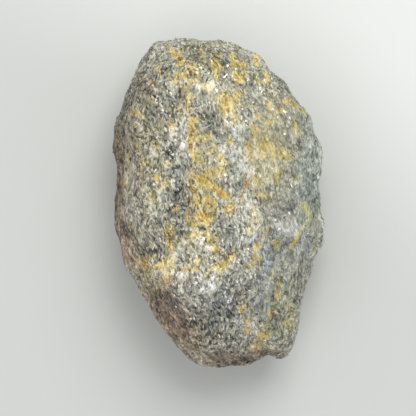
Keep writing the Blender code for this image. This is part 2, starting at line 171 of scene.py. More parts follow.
# Iron stain, as a yellow ochre film that sits among the grains.
FRONT_OCHRE = (
    Mark(-3.2, 27.3, 0.5, 1.2, 0, 0.75),
    Mark(-6.9, 27.2, 0.5, 0.5, 0, 0.5),
    Mark(0.1, 26.8, 0.4, 0.8, 0, 0.6),
    Mark(-7.7, 26.4, 0.5, 2.0, 45, 1.1),
    Mark(2.5, 25.7, 0.5, 1.5, 6, 1.0),
    Mark(6.6, 25.7, 0.5, 1.2, 18, 0.9),
    Mark(-6.8, 25.2, 0.9, 0.9, 0, 0.8),
    Mark(4.4, 24.9, 0.7, 0.4, 0, 0.7),
    Mark(3.8, 24.8, 1.2, 1.0, 0, 0.7),
    Mark(-0.8, 24.6, 0.6, 1.4, 20, 1.0),
    Mark(7.0, 24.6, 1.0, 0.4, 0, 0.5),
    Mark(0.0, 24.4, 0.5, 0.6, 0, 0.5),
    Mark(-10.8, 24.0, 0.8, 0.5, 0, 0.7),
    Mark(-4.7, 23.9, 0.9, 1.0, 20, 0.75),
    Mark(-6.6, 22.8, 1.0, 0.6, 0, 1.0),
    Mark(-0.6, 22.6, 0.5, 1.4, 5, 0.7),
    Mark(4.3, 22.6, 0.6, 1.2, 0, 0.7),
    Mark(3.3, 22.5, 0.8, 1.2, 25, 1.1),
    Mark(-7.8, 22.2, 0.5, 0.9, 0, 0.7),
    Mark(8.6, 22.2, 0.6, 1.4, 15, 0.9),
    Mark(-4.6, 22.0, 1.0, 1.4, 0, 0.5),
    Mark(7.0, 21.8, 0.6, 0.6, 0, 0.6),
    Mark(-5.1, 21.5, 0.8, 0.5, 0, 0.6),
    Mark(-12.0, 21.3, 0.4, 0.8, 0, 0.55),
    Mark(-7.2, 21.2, 0.5, 0.7, 0, 0.6),
    Mark(-6.3, 20.7, 0.5, 0.9, 20, 0.5),
    Mark(-2.3, 20.7, 1.3, 0.8, 0, 0.65),
    Mark(0.5, 19.6, 0.6, 0.8, 0, 0.7),
    Mark(3.2, 19.5, 0.8, 0.7, 0, 0.7),
    Mark(-5.6, 18.3, 0.6, 1.3, 8, 0.85),
    Mark(12.3, 18.2, 1.0, 0.8, 20, 0.7),
    Mark(-11.8, 17.9, 0.4, 0.5, 0, 0.5),
    Mark(1.5, 17.8, 2.0, 1.7, 0, 0.95),
    Mark(9.0, 17.6, 0.7, 1.6, 10, 0.65),
    Mark(13.8, 17.4, 0.8, 0.7, 0, 0.6),
    Mark(11.0, 16.6, 0.6, 0.6, 0, 0.85),
    Mark(-7.0, 16.6, 0.9, 1.6, 8, 0.45),
    Mark(0.3, 16.4, 0.4, 1.0, 0, 0.6),
    Mark(15.3, 16.3, 0.7, 0.9, 20, 0.6),
    Mark(-14.6, 15.8, 1.3, 1.2, 0, 0.5),
    Mark(6.6, 15.4, 0.9, 0.6, 0, 0.6),
    Mark(13.6, 15.4, 0.7, 0.6, 0, 0.4),
    Mark(2.6, 15.2, 0.8, 0.8, 0, 0.6),
    Mark(9.2, 14.6, 1.5, 0.5, 0, 0.6),
    Mark(3.9, 14.6, 0.7, 1.2, 0, 0.5),
    Mark(2.6, 14.6, 0.7, 0.8, 0, 0.5),
    Mark(-8.6, 14.3, 0.8, 2.2, 8, 0.55),
    Mark(-4.8, 14.0, 0.7, 2.1, 8, 1.0),
    Mark(0.9, 14.0, 0.5, 1.6, 0, 0.5),
    Mark(13.8, 13.4, 0.7, 1.5, 15, 0.6),
    Mark(-11.0, 13.4, 0.6, 1.0, 0, 0.55),
    Mark(6.6, 13.3, 0.7, 1.0, 0, 0.6),
    Mark(6.2, 12.8, 0.5, 1.1, 10, 0.6),
    Mark(-1.5, 12.0, 0.8, 0.8, 0, 0.6),
    Mark(14.4, 11.8, 0.6, 1.4, 0, 0.35),
    Mark(-3.2, 11.6, 1.5, 1.2, 0, 0.55),
    Mark(-5.2, 11.6, 0.5, 1.4, 4, 0.6),
    Mark(2.0, 11.0, 0.5, 0.9, 0, 0.8),
    Mark(-11.2, 10.3, 0.5, 1.1, 0, 0.65),
    Mark(5.4, 10.2, 0.35, 0.35, 0, 1.2),
    Mark(8.4, 10.0, 3.8, 3.0, 20, 0.48),
    Mark(-4.8, 9.9, 0.8, 2.8, 4, 0.8),
    Mark(-14.6, 9.6, 0.25, 2.0, 28, 0.9),
    Mark(5.4, 9.3, 0.9, 1.5, 0, 0.3),
    Mark(-1.4, 9.2, 1.3, 1.4, 0, 0.5),
    Mark(11.7, 8.6, 1.7, 0.9, 10, 0.55),
    Mark(-16.4, 8.4, 0.4, 0.5, 0, 0.7),
    Mark(8.0, 8.4, 0.7, 0.6, 0, 0.4),
    Mark(12.6, 7.8, 1.0, 0.8, 0, 0.5),
    Mark(-3.6, 7.6, 1.3, 1.5, 0, 0.35),
    Mark(0.6, 7.2, 0.9, 1.7, 0, 0.65),
    Mark(-9.2, 7.0, 0.9, 0.6, 0, 0.6),
    Mark(-13.4, 6.9, 0.5, 0.7, 0, 0.6),
    Mark(-13.2, 6.6, 0.7, 0.8, 0, 0.4),
    Mark(-1.6, 5.5, 1.7, 0.9, 0, 0.7),
    Mark(-4.6, 5.0, 0.9, 1.3, 0, 0.65),
    Mark(0.1, 5.0, 0.7, 0.8, 0, 0.7),
    Mark(10.4, 4.6, 1.1, 1.5, 0, 0.45),
    Mark(-11.0, 4.2, 0.8, 1.1, 15, 0.75),
    Mark(13.8, 4.0, 1.1, 0.9, 0, 0.5),
    Mark(6.5, 3.8, 1.3, 1.2, 0, 0.6),
    Mark(-2.9, 3.7, 1.6, 1.2, 0, 0.95),
    Mark(-16.8, 3.6, 0.4, 0.7, 0, 0.8),
    Mark(-9.7, 3.2, 0.7, 0.6, 0, 0.7),
    Mark(4.9, 3.2, 0.35, 0.35, 0, 1.2),
    Mark(-5.4, 2.6, 0.4, 1.4, 0, 0.7),
    Mark(-1.8, 2.4, 0.6, 0.6, 0, 0.6),
    Mark(-0.3, 2.3, 0.7, 2.6, 52, 1.1),
    Mark(4.6, 1.5, 0.5, 1.7, 0, 0.4),
    Mark(-4.4, 1.4, 1.0, 1.6, 0, 0.9),
    Mark(8.0, 1.4, 0.9, 1.3, 0, 0.4),
    Mark(7.2, 1.2, 0.35, 0.35, 0, 1.2),
    Mark(9.2, 0.8, 0.6, 1.2, 0, 0.35),
    Mark(-12.1, 0.7, 0.5, 0.8, 20, 0.85),
    Mark(-1.8, 0.6, 1.3, 1.3, 0, 0.6),
    Mark(1.2, 0.6, 0.5, 0.8, 0, 0.5),
    Mark(3.9, 0.4, 0.4, 1.1, -20, 0.35),
    Mark(-3.7, -0.2, 1.5, 0.9, 0, 0.9),
    Mark(15.4, -0.6, 0.9, 1.0, 0, 0.6),
    Mark(1.7, -0.9, 0.5, 0.7, 0, 1.3),
    Mark(-1.2, -1.0, 0.7, 1.4, 0, 0.6),
    Mark(-7.8, -1.0, 1.2, 0.8, 0, 0.5),
    Mark(6.4, -1.4, 0.5, 1.7, 0, 0.35),
    Mark(1.8, -1.4, 1.0, 0.8, 0, 1.0),
    Mark(1.6, -1.5, 0.7, 0.7, 0, 0.8),
    Mark(15.8, -1.8, 0.5, 1.6, 50, 0.5),
    Mark(-5.7, -2.4, 0.8, 1.3, -20, 0.6),
    Mark(-2.6, -2.6, 1.7, 1.2, 0, 1.2),
    Mark(7.0, -3.1, 0.5, 1.3, 15, 0.5),
    Mark(16.6, -3.6, 1.0, 1.0, 0, 0.45),
    Mark(-2.6, -3.6, 1.0, 0.8, 0, 0.4),
    Mark(-4.4, -4.1, 1.1, 0.7, 0, 0.7),
    Mark(-9.2, -4.4, 0.6, 1.4, 0, 0.65),
    Mark(6.5, -4.7, 0.5, 1.0, 0, 0.6),
    Mark(5.5, -4.8, 0.7, 1.2, 0, 0.6),
    Mark(8.6, -4.8, 0.8, 0.8, 0, 0.4),
    Mark(-9.4, -5.2, 1.0, 1.0, 0, 0.6),
    Mark(-2.3, -5.4, 0.9, 0.9, 0, 1.0),
    Mark(14.2, -5.8, 0.28, 3.0, -32, 0.8),
    Mark(-4.9, -6.0, 0.8, 0.5, 0, 0.6),
    Mark(8.3, -6.0, 0.5, 1.2, -35, 0.6),
    Mark(-4.4, -6.0, 1.4, 1.4, 0, 0.6),
    Mark(-6.5, -6.8, 1.1, 0.5, -15, 0.5),
    Mark(-1.0, -6.8, 1.0, 0.8, 0, 0.7),
    Mark(-2.0, -7.0, 0.6, 0.9, 0, 0.6),
    Mark(13.7, -7.2, 0.4, 1.8, -30, 0.65),
    Mark(10.2, -7.4, 0.9, 0.8, 0, 0.6),
    Mark(-8.8, -7.5, 0.6, 1.6, -5, 0.9),
    Mark(7.4, -7.8, 0.28, 1.6, -42, 0.75),
    Mark(6.8, -8.2, 0.6, 1.7, -15, 0.65),
    Mark(6.7, -8.2, 0.35, 0.35, 0, 1.2),
    Mark(-0.8, -8.4, 0.8, 1.3, 20, 1.1),
    Mark(4.8, -8.4, 0.4, 1.0, 0, 0.5),
    Mark(10.4, -8.4, 0.8, 0.5, 0, 0.4),
    Mark(17.0, -8.6, 0.6, 1.6, 0, 0.35),
    Mark(2.5, -9.1, 0.4, 0.35, 0, 1.2),
    Mark(-12.8, -9.2, 1.0, 0.7, 0, 0.3),
    Mark(-5.4, -9.6, 0.4, 0.9, 0, 0.7),
    Mark(7.2, -9.8, 0.5, 0.7, 0, 0.6),
    Mark(-8.0, -9.9, 0.5, 0.6, 0, 0.6),
    Mark(7.4, -10.0, 0.5, 0.6, 0, 0.5),
    Mark(6.1, -10.1, 0.28, 1.4, -12, 0.9),
    Mark(1.6, -10.2, 0.8, 1.7, -55, 1.0),
    Mark(-9.0, -10.4, 1.2, 0.7, -30, 0.9),
    Mark(-4.0, -10.7, 0.8, 0.9, 0, 1.0),
    Mark(-13.4, -11.0, 0.9, 1.0, 0, 1.0),
    Mark(-10.7, -11.4, 1.2, 0.7, 0, 1.1),
    Mark(5.6, -11.4, 1.2, 0.6, 0, 0.8),
    Mark(0.5, -11.5, 1.0, 0.9, 0, 0.75),
    Mark(-6.6, -11.9, 1.1, 0.5, 0, 0.6),
    Mark(-1.3, -12.0, 0.35, 1.7, -45, 0.8),
    Mark(-5.0, -12.2, 1.2, 0.7, -20, 0.8),
    Mark(-8.4, -12.4, 0.6, 1.2, 0, 0.5),
    Mark(-12.6, -12.8, 0.5, 0.9, 20, 0.3),
    Mark(-9.6, -13.0, 0.6, 0.9, 0, 0.6),
    Mark(0.0, -13.0, 0.5, 0.5, 0, 1.0),
    Mark(9.4, -13.6, 0.25, 4.0, -15, 0.45),
    Mark(-10.4, -13.6, 0.7, 0.6, 0, 0.4),
    Mark(-9.2, -14.4, 0.6, 0.5, 0, 1.0),
    Mark(-9.2, -14.6, 0.6, 0.5, 0, 0.4),
    Mark(13.4, -15.2, 1.0, 0.8, 0, 0.1),
    Mark(10.4, -15.6, 0.45, 4.8, -13, 0.15),
    Mark(10.8, -16.8, 0.6, 0.5, 0, 0.6),
    Mark(10.2, -17.0, 0.28, 4.2, -13, 0.7),
    Mark(4.1, -17.0, 0.3, 2.6, -11, 0.45),
    Mark(5.0, -18.6, 0.4, 1.6, 0, 0.4),
    Mark(12.5, -19.0, 0.28, 3.2, -11, 0.5),
    Mark(4.0, -19.2, 1.0, 0.7, 0, 0.75),
    Mark(9.2, -20.0, 0.6, 0.5, 0, 0.8),
    Mark(5.2, -21.3, 0.5, 1.0, 0, 0.65),
    Mark(13.0, -21.8, 1.0, 1.8, -10, 0.05),
    Mark(12.8, -21.8, 0.35, 3.4, -12, 0.35),
    Mark(8.0, -22.4, 0.5, 1.0, 0, 0.6),
    Mark(13.6, -22.6, 0.5, 1.6, 0, 0.35),
    Mark(5.2, -23.0, 0.7, 0.6, 0, 0.7),
    Mark(7.6, -24.1, 1.2, 0.9, 0, 0.8),
    Mark(8.3, -24.4, 0.4, 2.4, -40, 0.5),
    Mark(6.4, -26.0, 0.9, 1.0, -20, 0.5),
)

# White quartz, feldspar and clean mica, some of whose white spots also stand in for glints as painted
# highlights; the broad, faint patches are painted light on the middle of the face, the right slope
# and the right rim.
FRONT_PALE_AND_PAINTED_LIGHT = (
    Mark(0.2, 28.6, 1.0, 0.8, 0, 0.4),
    Mark(-3.0, 27.9, 1.4, 0.7, 0, 0.4),
    Mark(-11.5, 26.6, 1.0, 0.8, 0, 0.4),
    Mark(-11.4, 26.6, 0.9, 0.8, 0, 0.45),
    Mark(5.4, 26.2, 0.7, 0.7, 0, 0.5),
    Mark(7.7, 24.6, 1.2, 1.2, 0, 0.3),
    Mark(4.2, 22.3, 0.9, 1.0, 0, 0.45),
    Mark(3.9, 21.9, 0.8, 0.8, 0, 0.4),
    Mark(-1.2, 21.4, 0.7, 1.1, 8, 1.3),
    Mark(-12.6, 21.1, 0.6, 0.7, 0, 0.4),
    Mark(-3.4, 20.9, 0.9, 0.6, 0, 1.0),
    Mark(9.8, 20.2, 0.9, 0.7, 0, 0.4),
    Mark(10.6, 20.2, 0.7, 0.7, 0, 0.4),
    Mark(-2.7, 20.1, 0.7, 0.6, 0, 0.35),
    Mark(-0.6, 20.0, 1.6, 0.7, 0, 0.5),
    Mark(6.2, 20.0, 1.6, 0.8, 0, 0.35),
    Mark(-0.6, 19.6, 0.9, 0.8, 0, 0.7),
    Mark(-5.8, 18.5, 0.5, 1.6, 0, 0.3),
    Mark(2.4, 17.6, 2.4, 2.2, 0, 0.55),
    Mark(-2.0, 17.6, 2.6, 1.2, 0, 0.4),
    Mark(-6.4, 15.5, 0.8, 1.2, 0, 0.3),
    Mark(5.4, 15.4, 1.8, 1.0, 0, 0.55),
    Mark(-8.7, 15.2, 0.6, 0.9, 0, 0.4),
    Mark(0.0, 15.0, 0.8, 1.0, 0, 0.7),
    Mark(5.6, 14.8, 2.4, 1.2, 0, 0.45),
    Mark(9.0, 14.0, 1.8, 0.9, 20, 0.35),
    Mark(3.6, 13.8, 1.2, 2.3, 5, 0.65),
    Mark(-6.6, 13.6, 1.0, 1.9, 8, 0.55),
    Mark(-6.9, 13.6, 0.6, 0.8, 0, 0.4),
    Mark(-7.2, 13.4, 0.8, 0.8, 0, 0.35),
    Mark(2.4, 13.2, 1.4, 1.9, 0, 0.55),
    Mark(15.6, 13.0, 0.8, 1.2, 0, 0.4),
    Mark(3.2, 12.8, 2.4, 1.4, 0, 0.4),
    Mark(10.0, 12.8, 0.8, 0.7, 0, 0.35),
    Mark(0.9, 12.4, 0.8, 2.4, 0, 0.55),
    Mark(4.6, 12.4, 0.9, 1.0, 0, 0.3),
    Mark(-8.6, 12.2, 0.8, 1.1, 0, 0.5),
    Mark(-14.4, 11.3, 0.8, 0.7, 0, 0.4),
    Mark(3.0, 10.8, 1.6, 0.8, 0, 0.3),
    Mark(-8.7, 10.6, 0.6, 1.0, 0, 0.35),
    Mark(1.4, 10.6, 0.9, 0.9, 0, 0.5),
    Mark(-1.6, 10.6, 0.6, 0.8, 0, 0.3),
    Mark(-6.5, 10.2, 0.7, 0.9, 10, 1.3),
    Mark(-8.9, 10.2, 0.7, 0.7, 0, 0.4),
    Mark(1.4, 9.6, 0.7, 0.9, 0, 0.4),
    Mark(-7.2, 9.2, 0.6, 0.5, 0, 0.5),
    Mark(-7.2, 9.2, 0.8, 0.7, 0, 0.6),
    Mark(12.5, 9.0, 2.0, 3.6, 10, 0.2),
    Mark(14.0, 8.4, 1.0, 2.2, -55, 0.4),
    Mark(6.4, 8.2, 0.9, 0.7, 0, 0.4),
    Mark(3.8, 7.4, 1.1, 1.8, 0, 0.75),
    Mark(10.6, 7.0, 2.2, 0.3, 14, 0.6),
    Mark(-13.2, 6.8, 1.0, 1.4, 0, 0.4),
    Mark(8.5, 6.6, 2.2, 0.7, 14, 0.65),
    Mark(11.6, 6.4, 0.9, 0.7, 0, 0.7),
    Mark(11.4, 6.2, 0.6, 0.6, 0, 0.4),
    Mark(16.2, 6.0, 2.2, 8.0, 0, 0.25),
    Mark(-2.6, 6.0, 2.4, 9.0, 0, 0.24),
    Mark(5.4, 5.2, 1.0, 1.3, 0, 0.6),
    Mark(-15.9, 5.2, 0.7, 0.7, 0, 0.7),
    Mark(7.2, 5.0, 0.8, 0.9, 0, 0.4),
    Mark(8.0, 4.6, 1.2, 1.4, 0, 0.55),
    Mark(3.4, 4.2, 0.7, 1.0, 0, 0.45),
    Mark(13.7, 3.8, 0.6, 0.7, 0, 0.4),
    Mark(13.8, 3.8, 0.7, 1.0, 0, 0.5),
    Mark(13.6, 3.6, 1.2, 1.0, 0, 0.4),
    Mark(9.2, 3.4, 0.8, 1.6, 0, 0.3),
    Mark(-1.6, 3.0, 1.8, 0.8, 30, 0.3),
    Mark(10.2, 2.6, 5.0, 7.0, 0, 0.26),
    Mark(-11.6, 2.4, 0.9, 0.8, 0, 0.3),
    Mark(2.0, 2.2, 0.45, 0.45, 0, 1.1),
    Mark(9.7, 1.0, 0.6, 0.6, 0, 0.35),
    Mark(-12.8, 0.2, 1.8, 1.0, 0, 0.45),
    Mark(5.2, -0.6, 2.6, 3.4, 10, 0.5),
    Mark(-13.4, -0.6, 1.0, 0.7, 0, 0.45),
    Mark(-4.6, -0.8, 0.6, 1.2, 0, 0.35),
    Mark(14.4, -1.4, 1.4, 0.6, 20, 0.35),
    Mark(15.2, -1.4, 0.9, 0.6, 0, 0.5),
    Mark(2.2, -2.0, 0.8, 1.0, 0, 0.4),
    Mark(2.4, -2.2, 0.9, 0.6, 0, 0.35),
    Mark(-15.9, -3.0, 1.0, 0.8, 0, 0.35),
    Mark(8.0, -3.0, 0.5, 1.4, 0, 0.35),
    Mark(14.0, -3.4, 2.0, 1.1, -10, 0.45),
    Mark(4.3, -4.2, 0.6, 0.8, 0, 0.4),
    Mark(11.0, -4.3, 1.0, 0.9, 0, 0.45),
    Mark(0.0, -4.8, 1.8, 0.6, 0, 0.35),
    Mark(6.2, -5.0, 1.7, 1.7, 0, 0.6),
    Mark(0.6, -5.0, 1.6, 0.6, 20, 0.4),
    Mark(-2.6, -5.6, 1.2, 0.9, 0, 0.5),
    Mark(4.4, -5.6, 0.7, 2.4, -15, 0.5),
    Mark(15.3, -5.6, 1.0, 0.9, 0, 0.7),
    Mark(12.7, -5.6, 1.2, 1.0, 0, 0.4),
    Mark(6.8, -5.8, 0.6, 1.0, 0, 0.5),
    Mark(6.6, -6.0, 0.6, 1.2, 0, 0.4),
    Mark(-11.4, -6.2, 1.2, 0.9, 0, 0.35),
    Mark(-1.6, -6.4, 0.9, 0.9, 0, 0.3),
    Mark(16.0, -6.4, 0.8, 1.0, 0, 0.35),
    Mark(4.6, -6.6, 1.2, 1.2, 0, 0.65),
    Mark(1.8, -6.8, 0.5, 0.5, 0, 0.8),
    Mark(-3.4, -7.0, 0.6, 0.6, 0, 1.1),
    Mark(-4.2, -7.0, 1.2, 1.2, 0, 0.8),
    Mark(-4.2, -7.2, 1.2, 1.0, 0, 0.6),
    Mark(4.8, -7.2, 0.6, 2.0, -60, 0.65),
    Mark(-15.2, -7.4, 0.7, 1.0, 0, 0.4),
    Mark(-1.4, -8.2, 0.9, 0.7, 0, 1.0),
    Mark(-1.0, -8.6, 3.2, 3.6, 0, 0.26),
    Mark(-2.6, -8.6, 1.0, 0.9, 0, 0.5),
    Mark(1.2, -9.0, 3.6, 5.0, 0, 0.26),
    Mark(5.4, -9.2, 3.6, 0.35, 4, 0.6),
    Mark(-2.2, -9.4, 0.8, 0.8, 0, 0.6),
    Mark(14.2, -9.4, 0.22, 2.4, -24, 0.45),
    Mark(-9.4, -9.8, 0.7, 0.7, 0, 0.5),
    Mark(-8.3, -9.9, 1.0, 0.7, 0, 0.4),
    Mark(1.0, -10.4, 1.2, 0.6, 20, 0.3),
    Mark(-12.2, -11.2, 0.8, 1.6, 30, 0.4),
    Mark(9.9, -11.6, 0.24, 2.2, -20, 0.4),
    Mark(-9.2, -12.0, 1.2, 0.8, 0, 0.4),
    Mark(0.0, -12.2, 1.4, 0.9, 0, 0.4),
    Mark(-4.6, -12.4, 2.0, 1.2, 0, 0.35),
    Mark(-9.2, -12.4, 2.6, 1.8, 0, 0.3),
    Mark(-11.4, -12.6, 0.6, 0.7, 0, 0.7),
    Mark(4.5, -12.9, 0.8, 0.7, 0, 0.6),
    Mark(-11.2, -12.9, 0.8, 0.7, 0, 0.4),
    Mark(-6.6, -13.0, 0.6, 1.3, -45, 1.0),
    Mark(-11.0, -13.0, 0.7, 0.9, 0, 0.5),
    Mark(13.2, -13.8, 0.24, 3.0, -14, 0.45),
    Mark(10.4, -14.4, 0.7, 2.2, 0, 0.35),
    Mark(-7.4, -14.6, 0.7, 0.8, 0, 0.4),
    Mark(-10.2, -15.0, 1.0, 1.0, 0, 0.4),
    Mark(-7.5, -15.0, 1.0, 1.4, 0, 0.3),
    Mark(-10.4, -15.0, 1.4, 0.9, 20, 0.7),
    Mark(-1.2, -15.4, 1.2, 1.2, 0, 0.6),
    Mark(-1.3, -15.6, 0.8, 0.9, 0, 1.5),
    Mark(11.4, -15.6, 0.24, 3.2, -13, 0.5),
    Mark(-3.2, -15.8, 0.8, 0.5, 0, 1.1),
    Mark(-1.6, -15.8, 1.2, 1.0, 0, 0.6),
    Mark(-1.4, -15.8, 0.9, 1.0, 0, 0.9),
    Mark(-6.6, -16.4, 0.6, 0.5, 0, 0.8),
    Mark(-3.2, -16.6, 1.8, 0.8, 0, 0.3),
    Mark(-4.4, -17.2, 1.4, 0.8, 0, 0.6),
    Mark(8.6, -17.2, 0.24, 3.6, -11, 0.5),
    Mark(0.4, -17.2, 0.7, 0.7, 0, 0.45),
    Mark(-5.0, -17.4, 1.2, 1.0, 0, 0.35),
    Mark(12.0, -17.8, 0.9, 1.8, 0, 0.35),
    Mark(2.4, -18.6, 1.0, 0.6, 20, 0.4),
    Mark(12.3, -18.6, 0.7, 1.2, 0, 0.3),
    Mark(11.7, -18.8, 0.8, 1.0, 0, 0.4),
    Mark(6.6, -20.4, 0.24, 2.6, -7, 0.45),
    Mark(10.9, -21.5, 0.24, 3.0, -10, 0.45),
    Mark(9.0, -21.5, 0.8, 0.8, 0, 0.35),
    Mark(9.3, -21.8, 0.5, 0.8, 0, 0.4),
    Mark(2.6, -22.4, 2.2, 0.5, 10, 0.45),
    Mark(3.8, -22.6, 1.0, 0.6, 0, 0.45),
    Mark(-4.0, -24.4, 0.9, 0.7, 0, 0.35),
    Mark(-3.8, -24.6, 1.2, 1.0, 0, 0.4),
    Mark(8.2, -24.6, 0.7, 0.5, 0, 0.3),
    Mark(8.0, -25.6, 1.6, 0.6, 20, 0.3),
    Mark(-6.3, -25.8, 1.0, 1.0, 0, 0.4),
    Mark(4.0, -26.0, 0.9, 0.8, 0, 0.35),
    Mark(-2.0, -26.2, 1.4, 0.8, 0, 0.45),
    Mark(-2.2, -26.4, 1.0, 0.7, 0, 0.4),
)
